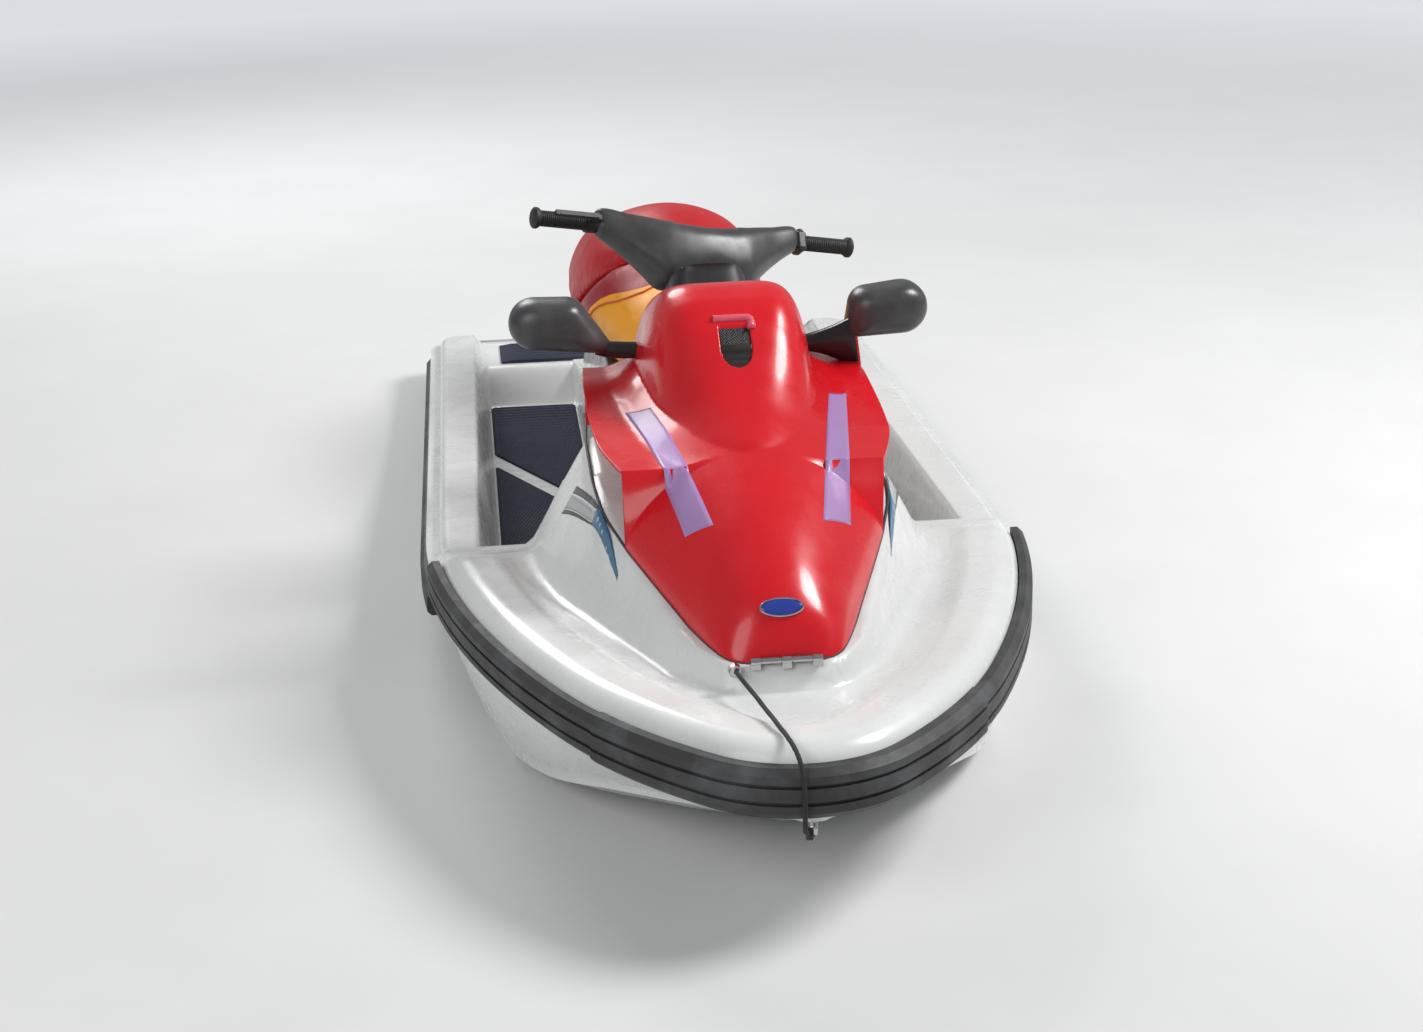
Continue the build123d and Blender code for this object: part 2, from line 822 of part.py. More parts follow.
def hood_form():
    """The hood's outside as a solid: sloping sides, a crowned top and the raised middle."""
    form = hood_loft(0) + hump_loft(0)
    return form & extrude(hood_plan(0), amount=SKY, dir=(0, 0, 1))


def build_hood(form):
    """The red hood, a shell on the coaming's rim, with the vent cut through it."""
    inner = hood_loft(HOOD_WALL) + hump_loft(HOOD_WALL)
    inner &= box(-BEAM, BEAM, HOOD_NOSE_Y + HOOD_WALL, HOOD_BACK_Y - HOOD_WALL, -SKY, SKY)
    inner &= extrude(hood_plan(-HOOD_WALL), amount=SKY, dir=(0, 0, 1))
    opening = extrude(vent_plane() * vent_shield(0), amount=VENT_DEEP, both=True)
    return (form & above_rim(SEAL_GAP)) - inner - opening


def build_vent_mesh():
    """The dark plate in the vent, with rows of slots across it."""
    seat = vent_plane().offset(-VENT_SET)
    plate = extrude(seat * vent_shield(-FIT), amount=-VENT_PLATE)
    pitch = VENT_TALL / (VENT_SLOTS + 2)
    for row in range(VENT_SLOTS):
        height = VENT_TALL / 2 - pitch * (row + 1)
        slot = seat * (Pos(0, height) * Rectangle(VENT_WIDE, VENT_SLOT_TALL) & vent_shield(-VENT_SLOT_EDGE))
        plate -= extrude(slot, amount=-VENT_PLATE)
    return plate


def build_badge(form):
    """The small oval plate on the hood's nose, left blank."""
    lean = math.radians(BADGE_LEAN)
    out = (0, -math.sin(lean), math.cos(lean))
    seat = Plane(origin=(0, BADGE_Y, up(BADGE_HEIGHT)), x_dir=(1, 0, 0), z_dir=out)
    oval = seat * Ellipse(BADGE_WIDE / 2, BADGE_TALL / 2)
    return Pos(Vector(*out) * FIT) * (extrude(oval, amount=BADGE_THICK) - form)


def hinge_z():
    """The hinge pin's z: its fixed barrels stand on the coaming's ledge."""
    return up(rim_height(HINGE_Y)) + HINGE_BARREL_R


def hinge_line(x0, x1, radius):
    """A round bar along the hood's hinge line."""
    bar = Rot(0, 90, 0) * Cylinder(radius, x1 - x0)
    return Pos((x0 + x1) / 2, HINGE_Y, hinge_z()) * bar


def build_hinge_base(coaming):
    """The hinge's fixed barrels on their feet, and its pin."""
    shape = hinge_line(HINGE_BARRELS[0][0], HINGE_BARRELS[-1][1], HINGE_PIN_R)
    for x0, x1 in HINGE_BARRELS:
        shape += hinge_line(x0, x1, HINGE_BARREL_R)
        foot = hinge_z() - 2 * HINGE_BARREL_R
        shape += box(x0, x1, HINGE_Y - HINGE_FOOT, HINGE_Y + HINGE_FOOT, foot, hinge_z())
    return shape - coaming


def build_hinge_arms(form):
    """The hood's barrels, turning on the pin, with leaves back to the hood's nose."""
    z = hinge_z()
    arms = []
    for (_, x0), (x1, _) in zip(HINGE_BARRELS, HINGE_BARRELS[1:]):
        x0, x1 = x0 + HINGE_END_GAP, x1 - HINGE_END_GAP
        arm = hinge_line(x0, x1, HINGE_BARREL_R - HINGE_CLEAR)
        arm += box(x0, x1, HINGE_Y, HOOD_NOSE_Y + HOOD_WALL, z - HINGE_CLEAR, z + HINGE_BARREL_R - HINGE_CLEAR)
        arms.append(arm - hinge_line(x0 - 1, x1 + 1, HINGE_PIN_R + SHAFT_FIT) - form)
    return arms[0] + arms[1]


# Mirrors

def mirror_outline(scale):
    """A mirror seen from the front: a large outer lobe that narrows towards its stalk."""
    lobes = (
        (MIRROR_WIDE / 2 - MIRROR_LOBE, 4, MIRROR_LOBE),
        (MIRROR_LOBE * 0.2 - MIRROR_WIDE / 4, 8, MIRROR_LOBE * 0.78),
        (MIRROR_TIP - MIRROR_WIDE / 2, MIRROR_TIP - MIRROR_TALL / 2, MIRROR_TIP),
    )
    edges = []
    for x, z, r in lobes:
        lobe = Pos(x * scale, z * scale) * RegularPolygon(r * scale, MIRROR_SIDES)
        edges += lobe.edges()
    return make_hull(edges)


def build_mirror(side):
    """One mirror housing, a rounded shell with its open face aft."""
    middle = Plane(origin=(MIRROR_X, MIRROR_Y, up(MIRROR_HEIGHT)), x_dir=(1, 0, 0), z_dir=(0, -1, 0))
    faces = [middle.offset(out) * mirror_outline(scale) for out, scale in MIRROR_STEPS]
    shape = loft(faces, ruled=True)
    recess = middle.offset(MIRROR_STEPS[0][0]) * mirror_outline(MIRROR_GLASS_SCALE)
    shape -= extrude(recess, amount=MIRROR_RECESS, dir=(0, -1, 0))
    return shape if side > 0 else mirror(shape, Plane.YZ)


def build_glass(side):
    """The mirror's glass, set into the open face."""
    middle = Plane(origin=(MIRROR_X, MIRROR_Y, up(MIRROR_HEIGHT)), x_dir=(1, 0, 0), z_dir=(0, -1, 0))
    seat = middle.offset(MIRROR_STEPS[0][0] + MIRROR_RECESS)
    shape = extrude(seat * mirror_outline(MIRROR_GLASS_SCALE), amount=GLASS_THICK, dir=(0, 1, 0))
    return shape if side > 0 else mirror(shape, Plane.YZ)


def build_stalk(side, form, housing):
    """The flared stalk from the hood's rear shoulder up to the mirror."""
    along = (1, 0, STALK_LEAN)
    foot = Plane(origin=(STALK_FOOT_X, MIRROR_Y, up(STALK_FOOT_HEIGHT)), z_dir=along)
    head_x = MIRROR_X - MIRROR_WIDE / 2 + STALK_HEAD_IN
    head = Plane(origin=(head_x, MIRROR_Y, up(MIRROR_HEIGHT) - STALK_HEAD_DROP), z_dir=along)
    faces = [
        foot * bevelled(STALK_FOOT_DEEP, STALK_FOOT_TALL, STALK_BEVEL),
        head * bevelled(STALK_HEAD_DEEP, STALK_HEAD_TALL, STALK_BEVEL),
    ]
    shape = loft(faces, ruled=True)
    shape = shape if side > 0 else mirror(shape, Plane.YZ)
    return max((shape - form - housing).solids(), key=lambda solid: solid.volume)


# Steering

def steer_plane():
    """The handlebar's own plane: x across, z along the steering axis, turned as it rests."""
    lean, turn = math.radians(STEER_LEAN), math.radians(STEER_REST)
    axis = (0, math.sin(lean), math.cos(lean))
    across = (math.cos(turn), math.sin(turn) * math.cos(lean), -math.sin(turn) * math.sin(lean))
    return Plane(origin=(0, STEER_Y, up(STEER_HEIGHT)), x_dir=across, z_dir=axis)


def build_cowl():
    """The fixed black cowl under the handlebar, cut square to the steering axis."""
    faces = []
    for height, half, front, back in COWL_SECTIONS:
        outline = bevelled(2 * half, back - front, COWL_BEVEL)
        faces.append(Pos(0, (front + back) / 2, up(height)) * outline)
    shape = loft(faces, ruled=True)
    top = steer_plane().offset(-COWL_TOP)
    shape -= extrude(top * Rectangle(BEAM, BEAM), amount=BEAM)
    bore = extrude(top.offset(-COLUMN_DEEP) * Circle(COLUMN_R + SHAFT_FIT), amount=COLUMN_DEEP + 1)
    return shape - bore


def across(x, radius, length):
    """A round bar along the handlebar's line, centred at x."""
    return steer_plane() * (Pos(x, 0, 0) * Rot(0, 90, 0) * Cylinder(radius, length))


def build_handlebar():
    """The handlebar tube and the column it is welded to."""
    shape = across(0, BAR_R, 2 * (BAR_HALF - GRIP_CAP_LONG))
    length = COWL_TOP + COLUMN_DEEP - CONTROL_GAP
    return shape + extrude(steer_plane() * Circle(COLUMN_R), amount=-length)


def build_pad(bar):
    """The padded cover over the handlebar's middle, deep over the column and thin at its ends."""
    faces = []
    for x, deep, tall, rise in PAD_SECTIONS:
        face = Rot(0, 90, 0) * bevelled(tall, deep, PAD_R)
        faces.append(steer_plane() * (Pos(x, 0, rise) * face))
    return loft(faces, ruled=True) - bar


def build_boot(bar):
    """The rubber boot round the column, between the cowl and the pad."""
    middle = PAD_SECTIONS[len(PAD_SECTIONS) // 2]
    low, high = -COWL_TOP + BOOT_GAP, middle[3] - middle[2] / 2 - FIT
    plane = steer_plane()
    faces = [plane.offset(low) * Circle(BOOT_R1), plane.offset(high) * Circle(BOOT_R2)]
    return loft(faces, ruled=True) - bar


def grip_start():
    """Where the grips begin, out from the steering axis."""
    return BAR_HALF - GRIP_CAP_LONG - GRIP_LONG


def faceted(x, radius, length):
    """A many-sided bar along the handlebar's line, centred at x."""
    bar = extrude(RegularPolygon(radius, GRIP_SIDES), amount=length / 2, both=True)
    return steer_plane() * (Pos(x, 0, 0) * Rot(0, 90, 0) * bar)


def build_grip(side, bar):
    """One rubber grip with raised rings and an end cap."""
    start = grip_start()
    shape = faceted(side * (start + GRIP_LONG / 2), GRIP_R, GRIP_LONG)
    for i in range(GRIP_RINGS):
        ring = start + GRIP_LONG * (i + 1) / (GRIP_RINGS + 1)
        shape += faceted(side * ring, GRIP_R + GRIP_RING_RISE, GRIP_RING_WIDE)
    shape += faceted(side * (BAR_HALF - GRIP_CAP_LONG / 2), GRIP_CAP_R, GRIP_CAP_LONG)
    return shape - bar


def build_throttle(bar):
    """The throttle's perch and its lever, which reaches out in front of the starboard grip."""
    x = -(grip_start() - CONTROL_WIDE / 2 - CONTROL_GAP)
    shape = across(x, PERCH_R, CONTROL_WIDE)
    arm = Pos(x, -LEVER_OUT / 2, -LEVER_DROP) * Box(LEVER_WIDE, LEVER_OUT, LEVER_THICK)
    blade = Pos(x - LEVER_LONG / 2, -LEVER_OUT, -LEVER_DROP) * Box(LEVER_LONG, LEVER_WIDE, LEVER_THICK)
    return shape + steer_plane() * arm + steer_plane() * blade - bar


def build_switches(bar):
    """The start and stop switch box, inboard of the port grip."""
    x = grip_start() - CONTROL_WIDE / 2 - CONTROL_GAP
    block = Box(CONTROL_WIDE, SWITCH_DEEP, SWITCH_TALL)
    shape = steer_plane() * (Pos(x, 0, 0) * chamfer(block.edges(), SWITCH_BEVEL))
    for y in (-SWITCH_DEEP / 4, SWITCH_DEEP / 4):
        button = Pos(x, y, SWITCH_TALL / 2) * Cylinder(BUTTON_R, BUTTON_R)
        shape += steer_plane() * button
    return shape - bar


def build_shift_lever(cowl):
    """The reverse lever on the cowl's starboard side: a disc, an arm and a knob."""
    seat = Plane(origin=(-SHIFT_X, SHIFT_Y, up(SHIFT_HEIGHT)), x_dir=(0, 1, 0), z_dir=(-1, 0, 0.2))
    disc = extrude(seat * Circle(SHIFT_DISC_R), amount=SHIFT_DISC_THICK)
    arm = seat * Pos(0, SHIFT_LONG / 2, SHIFT_DISC_THICK) * Box(SHIFT_WIDE, SHIFT_LONG, SHIFT_WIDE / 2)
    knob = Box(2 * SHIFT_WIDE, SHIFT_WIDE, SHIFT_KNOB)
    knob = Pos(0, SHIFT_LONG, SHIFT_DISC_THICK + SHIFT_KNOB / 2) * chamfer(knob.edges(), SHIFT_BEVEL)
    return disc + arm + seat * knob - cowl


# Seat

def seat_y(share):
    """The y at a share of the seat's length."""
    return SEAT_FRONT_Y + share * (SEAT_BACK_Y - SEAT_FRONT_Y)


def seat_loft():
    """The whole seat, lofted from its narrow front to the wide rear."""
    faces = []
    for share, half, shoulder, shoulder_height, crown_height in SEAT_SECTIONS:
        faces.append(crowned(seat_y(share), half, shoulder, SEAT_LOW, shoulder_height, crown_height, SEAT_R))
    return prism_loft(faces)


def build_seat_base():
    """The rigid tray under the cushions, resting on the pedestal."""
    low = up(PEDESTAL_TOP) + FIT
    front, back = SEAT_FRONT_Y + BASE_EDGE, PEDESTAL_BACK_Y - PEDESTAL_LAP
    wide, nose = PEDESTAL_HALF, BASE_NOSE_HALF
    port = ((nose, front), (wide, front + BASE_TAPER), (wide, back))
    outline = make_face(Polyline(*port, *[(-x, y) for x, y in reversed(port)], close=True))
    return Pos(0, 0, low) * extrude(outline, amount=up(SEAT_LOW) - low, dir=(0, 0, 1))


def build_grab_handle(seat_rear):
    """The passenger's grab handle behind the seat: a flat bar bent to a U."""
    front, back = SEAT_BACK_Y - HANDLE_IN, SEAT_BACK_Y + HANDLE_REACH
    outer = Pos(0, (front + back) / 2) * bevelled(2 * HANDLE_HALF, back - front, HANDLE_BAR)
    inner = Pos(0, (front + back) / 2 - HANDLE_BAR) * Rectangle(2 * (HANDLE_HALF - HANDLE_BAR), back - front)
    bar = extrude(outer - inner, amount=HANDLE_TALL)
    rims = bar.edges().group_by(Axis.Z)
    bar = chamfer(rims[0] + rims[-1], HANDLE_BEVEL)
    return Pos(0, 0, up(HANDLE_HEIGHT)) * bar - seat_rear


# Jet pump

def build_pump_plate():
    """The bulkhead that carries the pump in its tunnel."""
    front, back = RING_Y - PLATE_THICK, RING_Y
    shape = box(-TUNNEL_HALF, TUNNEL_HALF, front, back, up(GRATE_LOW + GRATE_TALL), up(TUNNEL_TOP))
    bore = Pos(0, (front + back) / 2, up(PUMP_HEIGHT)) * Rot(90, 0, 0) * Cylinder(DUCT_R, 2 * PLATE_THICK)
    return shape - bore


def build_pump_ring():
    """The wear ring that the impeller turns in, with a bolting flange at each end."""
    out = DUCT_R + DUCT_WALL
    y0, y1 = RING_Y, RING_Y + RING_LONG
    profile = (
        (DUCT_R, y0), (out + FLANGE, y0), (out + FLANGE, y0 + FLANGE), (out, y0 + FLANGE),
        (out, y1 - FLANGE), (out + FLANGE, y1 - FLANGE), (out + FLANGE, y1), (DUCT_R, y1),
    )
    return lathe(profile)


def build_pump_housing():
    """The stator housing: a cone with guide vanes, a hub for the shaft and the nozzle's lugs."""
    out = DUCT_R + DUCT_WALL
    y0, y1, y2 = RING_Y + RING_LONG, STATOR_BACK_Y, OUTLET_BACK_Y
    shell = lathe((
        (DUCT_R, y0), (out + FLANGE, y0), (out + FLANGE, y0 + FLANGE), (out, y0 + FLANGE),
        (OUTLET_R + OUTLET_WALL, y1), (OUTLET_R + OUTLET_WALL, y2), (OUTLET_R, y2), (OUTLET_R, y1),
    ))
    bore = lathe(((0, y0), (DUCT_R, y0), (OUTLET_R, y1), (0, y1)))
    hub = lathe(((0, y0 + 8), (HUB_R, y0 + 8), (HUB_TIP_R, y1 - 16), (0, y1 - 12)))
    vanes = None
    for i in range(VANE_COUNT):
        vane = Pos(DUCT_R / 2, (y0 + y1) / 2 - 6, 0) * Rot(0, 0, VANE_LEAN) * Box(DUCT_R + 8, y1 - y0, VANE_THICK)
        vane = Pos(0, 0, up(PUMP_HEIGHT)) * Rot(0, 360 / VANE_COUNT * i, 0) * vane
        vanes = vane if vanes is None else vanes + vane
    trimmed = (vanes & bore) & box(-BEAM, BEAM, y0 + 10, y1 - 30, -SKY, SKY)
    shape = shell + hub + trimmed
    high = NOZZLE_R1 + NOZZLE_WALL + LUG_GAP
    for side in (-1, 1):
        z = up(PUMP_HEIGHT) + side * (high + LUG_THICK / 2)
        lug = Pos(0, 0, z) * box(
            -LUG_HALF, LUG_HALF, y0 + 60, PIVOT_Y, -LUG_THICK / 2, LUG_THICK / 2
        ) + Pos(0, PIVOT_Y, z) * Cylinder(LUG_HALF, LUG_THICK)
        shape += lug - Pos(0, PIVOT_Y, z) * Cylinder(TRUNNION_R + SHAFT_FIT, 2 * LUG_THICK)
    shaft = Pos(0, y0, up(PUMP_HEIGHT)) * Rot(90, 0, 0) * Cylinder(SHAFT_R + SHAFT_FIT, 2 * SHAFT_IN)
    return shape - shaft


def build_shaft():
    """The drive shaft from the engine to the stator hub."""
    front = ENGINE_Y + ENGINE_LONG / 2 + HINGE_END_GAP
    back = RING_Y + RING_LONG + SHAFT_IN - HINGE_END_GAP
    bar = Rot(90, 0, 0) * Cylinder(SHAFT_R, back - front)
    return Pos(0, (front + back) / 2, up(PUMP_HEIGHT)) * bar


def build_impeller(shaft):
    """The impeller: a cone hub and three twisted blades."""
    y0, y1 = RING_Y + 10, RING_Y + RING_LONG - 8
    shape = lathe(((SHAFT_R, y0 - 18), (SHAFT_R + 4, y0 - 18), (HUB_R - 6, y0 + 10), (HUB_R, y1), (SHAFT_R, y1)))
    middle = Pos(0, 0, up(PUMP_HEIGHT))
    reach = DUCT_R - BLADE_CLEAR - HUB_R + 10
    for i in range(BLADE_COUNT):
        faces = []
        for step in range(3):
            y = y0 + 6 + step * (y1 - y0 - 12) / 2
            turn = 360 / BLADE_COUNT * i + BLADE_TWIST * step / 2
            section = Plane(origin=(0, y, 0), x_dir=(1, 0, 0), z_dir=(0, 1, 0))
            face = section * (Pos(HUB_R - 10 + reach / 2, 0) * Rectangle(reach, BLADE_THICK))
            faces.append(middle * (Rot(0, turn, 0) * face))
        shape += loft(faces, ruled=True)
    shape &= lathe(((0, y0 - 20), (DUCT_R - BLADE_CLEAR, y0 - 20), (DUCT_R - BLADE_CLEAR, y1), (0, y1)))
    return shape - shaft


def build_nozzle():
    """The steering nozzle: a tapered tube on two trunnions, turned as it rests."""
    y0, y1 = -NOZZLE_FRONT, NOZZLE_BACK
    wall = NOZZLE_WALL
    profile = ((NOZZLE_R1, y0), (NOZZLE_R1 + wall, y0), (NOZZLE_R1 + wall, 24), (NOZZLE_R2 + wall, y1))
    profile += ((NOZZLE_R2, y1), (NOZZLE_R1, 20))
    tube = revolve(make_face(Polyline(*[(r, y, 0) for r, y in profile], close=True)), axis=Axis.Y)
    for side in (-1, 1):
        low = NOZZLE_R1 + wall / 2
        pin = Pos(0, 0, side * (low + TRUNNION_OUT) / 2) * Cylinder(TRUNNION_R, TRUNNION_OUT - low)
        tube += pin
    return Pos(0, PIVOT_Y, up(PUMP_HEIGHT)) * Rot(0, 0, NOZZLE_REST) * tube


def sector(radius, start, end, thick):
    """A pie slice seen from the side, as thick as given, centred on x = 0."""
    face = make_face([
        Line((0, 0), (radius * math.cos(math.radians(start)), radius * math.sin(math.radians(start)))),
        CenterArc((0, 0), radius, start, end - start),
        Line((radius * math.cos(math.radians(end)), radius * math.sin(math.radians(end))), (0, 0)),
    ])
    plane = Plane(origin=(0, 0, 0), x_dir=(0, 1, 0), z_dir=(1, 0, 0))
    return extrude(plane * face, amount=thick / 2, both=True)


def build_bucket():
    """The reverse bucket, stowed above the jet: a curved shell between two side plates with pins."""
    out = BUCKET_R + BUCKET_WALL
    wide = 2 * (BUCKET_HALF + BUCKET_WALL)
    shape = sector(out, BUCKET_FROM, BUCKET_TO, wide) - sector(BUCKET_R, BUCKET_FROM - 20, BUCKET_TO + 20, 2 * BUCKET_HALF)
    hubs = Rot(0, 90, 0) * Cylinder(BUCKET_HUB_R, wide) - Rot(0, 90, 0) * Cylinder(BUCKET_HUB_R + 1, 2 * BUCKET_HALF)
    shape += hubs
    pin_out = BUCKET_HALF + BUCKET_WALL + BRACKET_GAP + BRACKET_THICK
    pins = Rot(0, 90, 0) * Cylinder(BUCKET_PIN_R, 2 * pin_out) - Rot(0, 90, 0) * Cylinder(BUCKET_PIN_R + 1, wide - 1)
    return Pos(0, PIVOT_Y, up(PUMP_HEIGHT)) * (shape + pins)


def build_brackets():
    """The two plates that hang from the bay's roof and carry the bucket's pins."""
    x0 = BUCKET_HALF + BUCKET_WALL + BRACKET_GAP
    z = up(PUMP_HEIGHT)
    plate = box(x0, x0 + BRACKET_THICK, PIVOT_Y - BRACKET_HALF, PIVOT_Y + BRACKET_HALF, z, up(BUCKET_BAY_TOP))
    plate += Pos(x0 + BRACKET_THICK / 2, PIVOT_Y, z) * Rot(0, 90, 0) * Cylinder(BRACKET_HALF, BRACKET_THICK)
    plate -= Pos(x0, PIVOT_Y, z) * Rot(0, 90, 0) * Cylinder(BUCKET_PIN_R + SHAFT_FIT, 4 * BRACKET_THICK)
    return both_sides(plate)


def build_grate():
    """The intake grate: a frame with bars fore and aft."""
    y0, y1 = TUNNEL_FRONT_Y, TUNNEL_FRONT_Y + GRATE_LONG
    z0, z1 = up(GRATE_LOW), up(GRATE_LOW + GRATE_TALL)
    inner = TUNNEL_HALF - GRATE_EDGE
    shape = box(-TUNNEL_HALF, TUNNEL_HALF, y0, y1, z0, z1)
    shape -= box(-inner, inner, y0 + GRATE_END, y1 - GRATE_END, z0 - 1, z1 + 1)
    for i in range(GRATE_BARS):
        x = (i + 1) * 2 * inner / (GRATE_BARS + 1) - inner
        shape += box(x - GRATE_BAR / 2, x + GRATE_BAR / 2, y0 + GRATE_END, y1 - GRATE_END, z0, z1)
    return shape


def build_ride_plate():
    """The plate under the pump, with two ribs along it."""
    y0, y1 = TUNNEL_FRONT_Y + GRATE_LONG, transom_y(GRATE_LOW)
    z = up(GRATE_LOW)
    shape = box(-TUNNEL_HALF, TUNNEL_HALF, y0, y1, z, z + RIDE_THICK)
    for x in (-RIDE_RIB_X, RIDE_RIB_X):
        x0, x1 = x - RIDE_RIB_WIDE / 2, x + RIDE_RIB_WIDE / 2
        shape += box(x0, x1, y0 + RIDE_RIB_END, y1 - RIDE_RIB_END, z + RIDE_THICK, z + GRATE_TALL)
    return shape


def build_engine():
    """The engine, as one plain block in its bay."""
    z = up(BAY_FLOOR)
    half = ENGINE_WIDE / 2
    return box(-half, half, ENGINE_Y - ENGINE_LONG / 2, ENGINE_Y + ENGINE_LONG / 2, z, z + ENGINE_TALL)


# Fittings

def well_mat(side, inner_y, outer_y):
    """One pad on a footwell floor, from y at its inner edge and at its outer edge, each as front and back."""
    outer = BEAM / 2 - DECK_INSET - GUNWALE_WIDE - WELL_SLOPE - MAT_EDGE
    inner = WELL_INNER + MAT_EDGE
    points = ((inner, inner_y[0]), (outer, outer_y[0]), (outer, outer_y[1]), (inner, inner_y[1]))
    face = make_face(Polyline(*[(side * x, y, up(WELL_FLOOR)) for x, y in points], close=True))
    return extrude(face, amount=MAT_THICK, dir=(0, 0, 1))


def build_mat_front(side):
    front = WELL_FRONT_Y + WELL_FRONT_SLOPE + MAT_EDGE
    inner_y, outer_y = (front, MAT_SPLIT_INNER_Y - MAT_GAP / 2), (front, MAT_SPLIT_OUTER_Y - MAT_GAP / 2)
    return well_mat(side, inner_y, outer_y)


def build_mat_rear(side):
    back = WELL_BACK_Y - MAT_EDGE
    inner_y, outer_y = (MAT_SPLIT_INNER_Y + MAT_GAP / 2, back), (MAT_SPLIT_OUTER_Y + MAT_GAP / 2, back)
    return well_mat(side, inner_y, outer_y)


def build_platform_mat():
    """The pad on the platform behind the seat."""
    half = BEAM / 2 - DECK_INSET - GUNWALE_WIDE - PLATFORM_MAT_EDGE
    y0, y1 = WELL_RAMP_Y + MAT_EDGE, STERN_Y - PLATFORM_MAT_EDGE
    pad = extrude(RectangleRounded(2 * half, y1 - y0, PLATFORM_MAT_ROUND), amount=MAT_THICK)
    return Pos(0, (y0 + y1) / 2, up(PLATFORM_HEIGHT)) * pad


def build_sponson(side, hull):
    """The black fin along the hull's side near the stern."""
    z0, z1 = up(SPONSON_LOW), up(SPONSON_LOW + SPONSON_TALL)
    points = (
        (SPONSON_FRONT_Y, z1),
        (SPONSON_FRONT_Y + SPONSON_SLOPE, z0),
        (SPONSON_BACK_Y, z0),
        (SPONSON_BACK_Y, z1),
    )
    out = BEAM / 2 - SPONSON_OUT
    shape = side_prism(points, BEAM) & box(out - SPONSON_WIDE, out, BOW_Y, STERN_Y, -SKY, SKY)
    shape = shape - hull
    return shape if side > 0 else mirror(shape, Plane.YZ)


def build_bow_eye(hull):
    """The towing eye under the stem: a U of bar, square to the stem's slope."""
    lean = math.radians(EYE_LEAN)
    seat = Plane(origin=(0, EYE_Y, up(EYE_HEIGHT)), x_dir=(0, math.sin(lean), -math.cos(lean)), z_dir=(1, 0, 0))
    route = ((-EYE_HALF, EYE_REACH), (-EYE_HALF, -EYE_REACH), (EYE_HALF, -EYE_REACH), (EYE_HALF, EYE_REACH))
    points = [seat.from_local_coords((x, y, 0)) for x, y in route]
    return pipe(points, EYE_R, EYE_ROUND) - hull


def build_stern_eyes(hull):
    """The two towing eyes on the transom."""
    y, z = transom_y(STERN_EYE_HEIGHT), up(STERN_EYE_HEIGHT)
    front, back = y - STERN_EYE_REACH / 2, y + STERN_EYE_REACH
    x0, x1 = STERN_EYE_X - EYE_HALF, STERN_EYE_X + EYE_HALF
    return both_sides(pipe([(x0, front, z), (x0, back, z), (x1, back, z), (x1, front, z)], EYE_R, EYE_ROUND) - hull)


def build_drain_plugs(hull):
    """The two drain plugs low on the transom, each a disc with a bar across it."""
    y, z = transom_y(PLUG_HEIGHT), up(PLUG_HEIGHT)
    plug = Pos(PLUG_X, y, z) * Rot(90, 0, 0) * Cylinder(PLUG_R, 2 * PLUG_OUT)
    plug += Pos(PLUG_X, y + PLUG_OUT + PLUG_BAR / 2, z) * Box(PLUG_BAR, PLUG_BAR, 1.5 * PLUG_R)
    return both_sides(plug - hull)


def line_path():
    """The bow line's path: straight runs joined by the largest arcs they have room for."""
    points = [Vector(x, y, up(height)) for x, y, height in LINE_ROUTE]
    radii = []
    for a, b, c in zip(points, points[1:], points[2:]):
        turn = math.radians((b - a).get_angle(c - b))
        radii.append(LINE_BEND * min((b - a).length, (c - b).length) / math.tan(turn / 2))
    return FilletPolyline(*points, radius=radii)


def build_bow_line(eye, coaming):
    """The bow line itself."""
    path = line_path()
    shape = sweep(Plane(origin=path @ 0, z_dir=path % 0) * Circle(LINE_R), path=path)
    return shape - eye - coaming


def build_knot(eye, line):
    """The knot that ties the bow line to the eye."""
    x, y, height = LINE_ROUTE[0]
    barrel = Rot(0, 90, 0) * extrude(RegularPolygon(KNOT_R, BUSH_SIDES), amount=KNOT_LONG / 2, both=True)
    rims = barrel.faces().filter_by(Axis.X).edges()
    return Pos(x, y, up(height)) * chamfer(rims, KNOT_BEVEL) - eye - line


def build_grommet(coaming, line):
    """The bush that the bow line goes through, on the front of the coaming."""
    x, y, height = LINE_ROUTE[-1]
    bush = Rot(90, 0, 0) * extrude(RegularPolygon(GROMMET_R, BUSH_SIDES), amount=GROMMET_OUT, both=True)
    rims = bush.faces().filter_by(Axis.Y).edges()
    return Pos(x, y, up(height)) * chamfer(rims, GROMMET_BEVEL) - coaming - line


os.makedirs("parts", exist_ok=True)

hull = build_hull()
deck = build_deck(hull)
coaming = build_coaming(deck, hull)
form = hood_form()
hood = build_hood(form)
bar = build_handlebar()
cowl = build_cowl()
seat = seat_loft()
split_y = seat_y(SEAT_SPLIT)
seat_front = seat & box(-BEAM, BEAM, BOW_Y, split_y - FIT, -SKY, SKY)
seat_rear = seat & box(-BEAM, BEAM, split_y + FIT, STERN_Y, -SKY, SKY)
shaft = build_shaft()

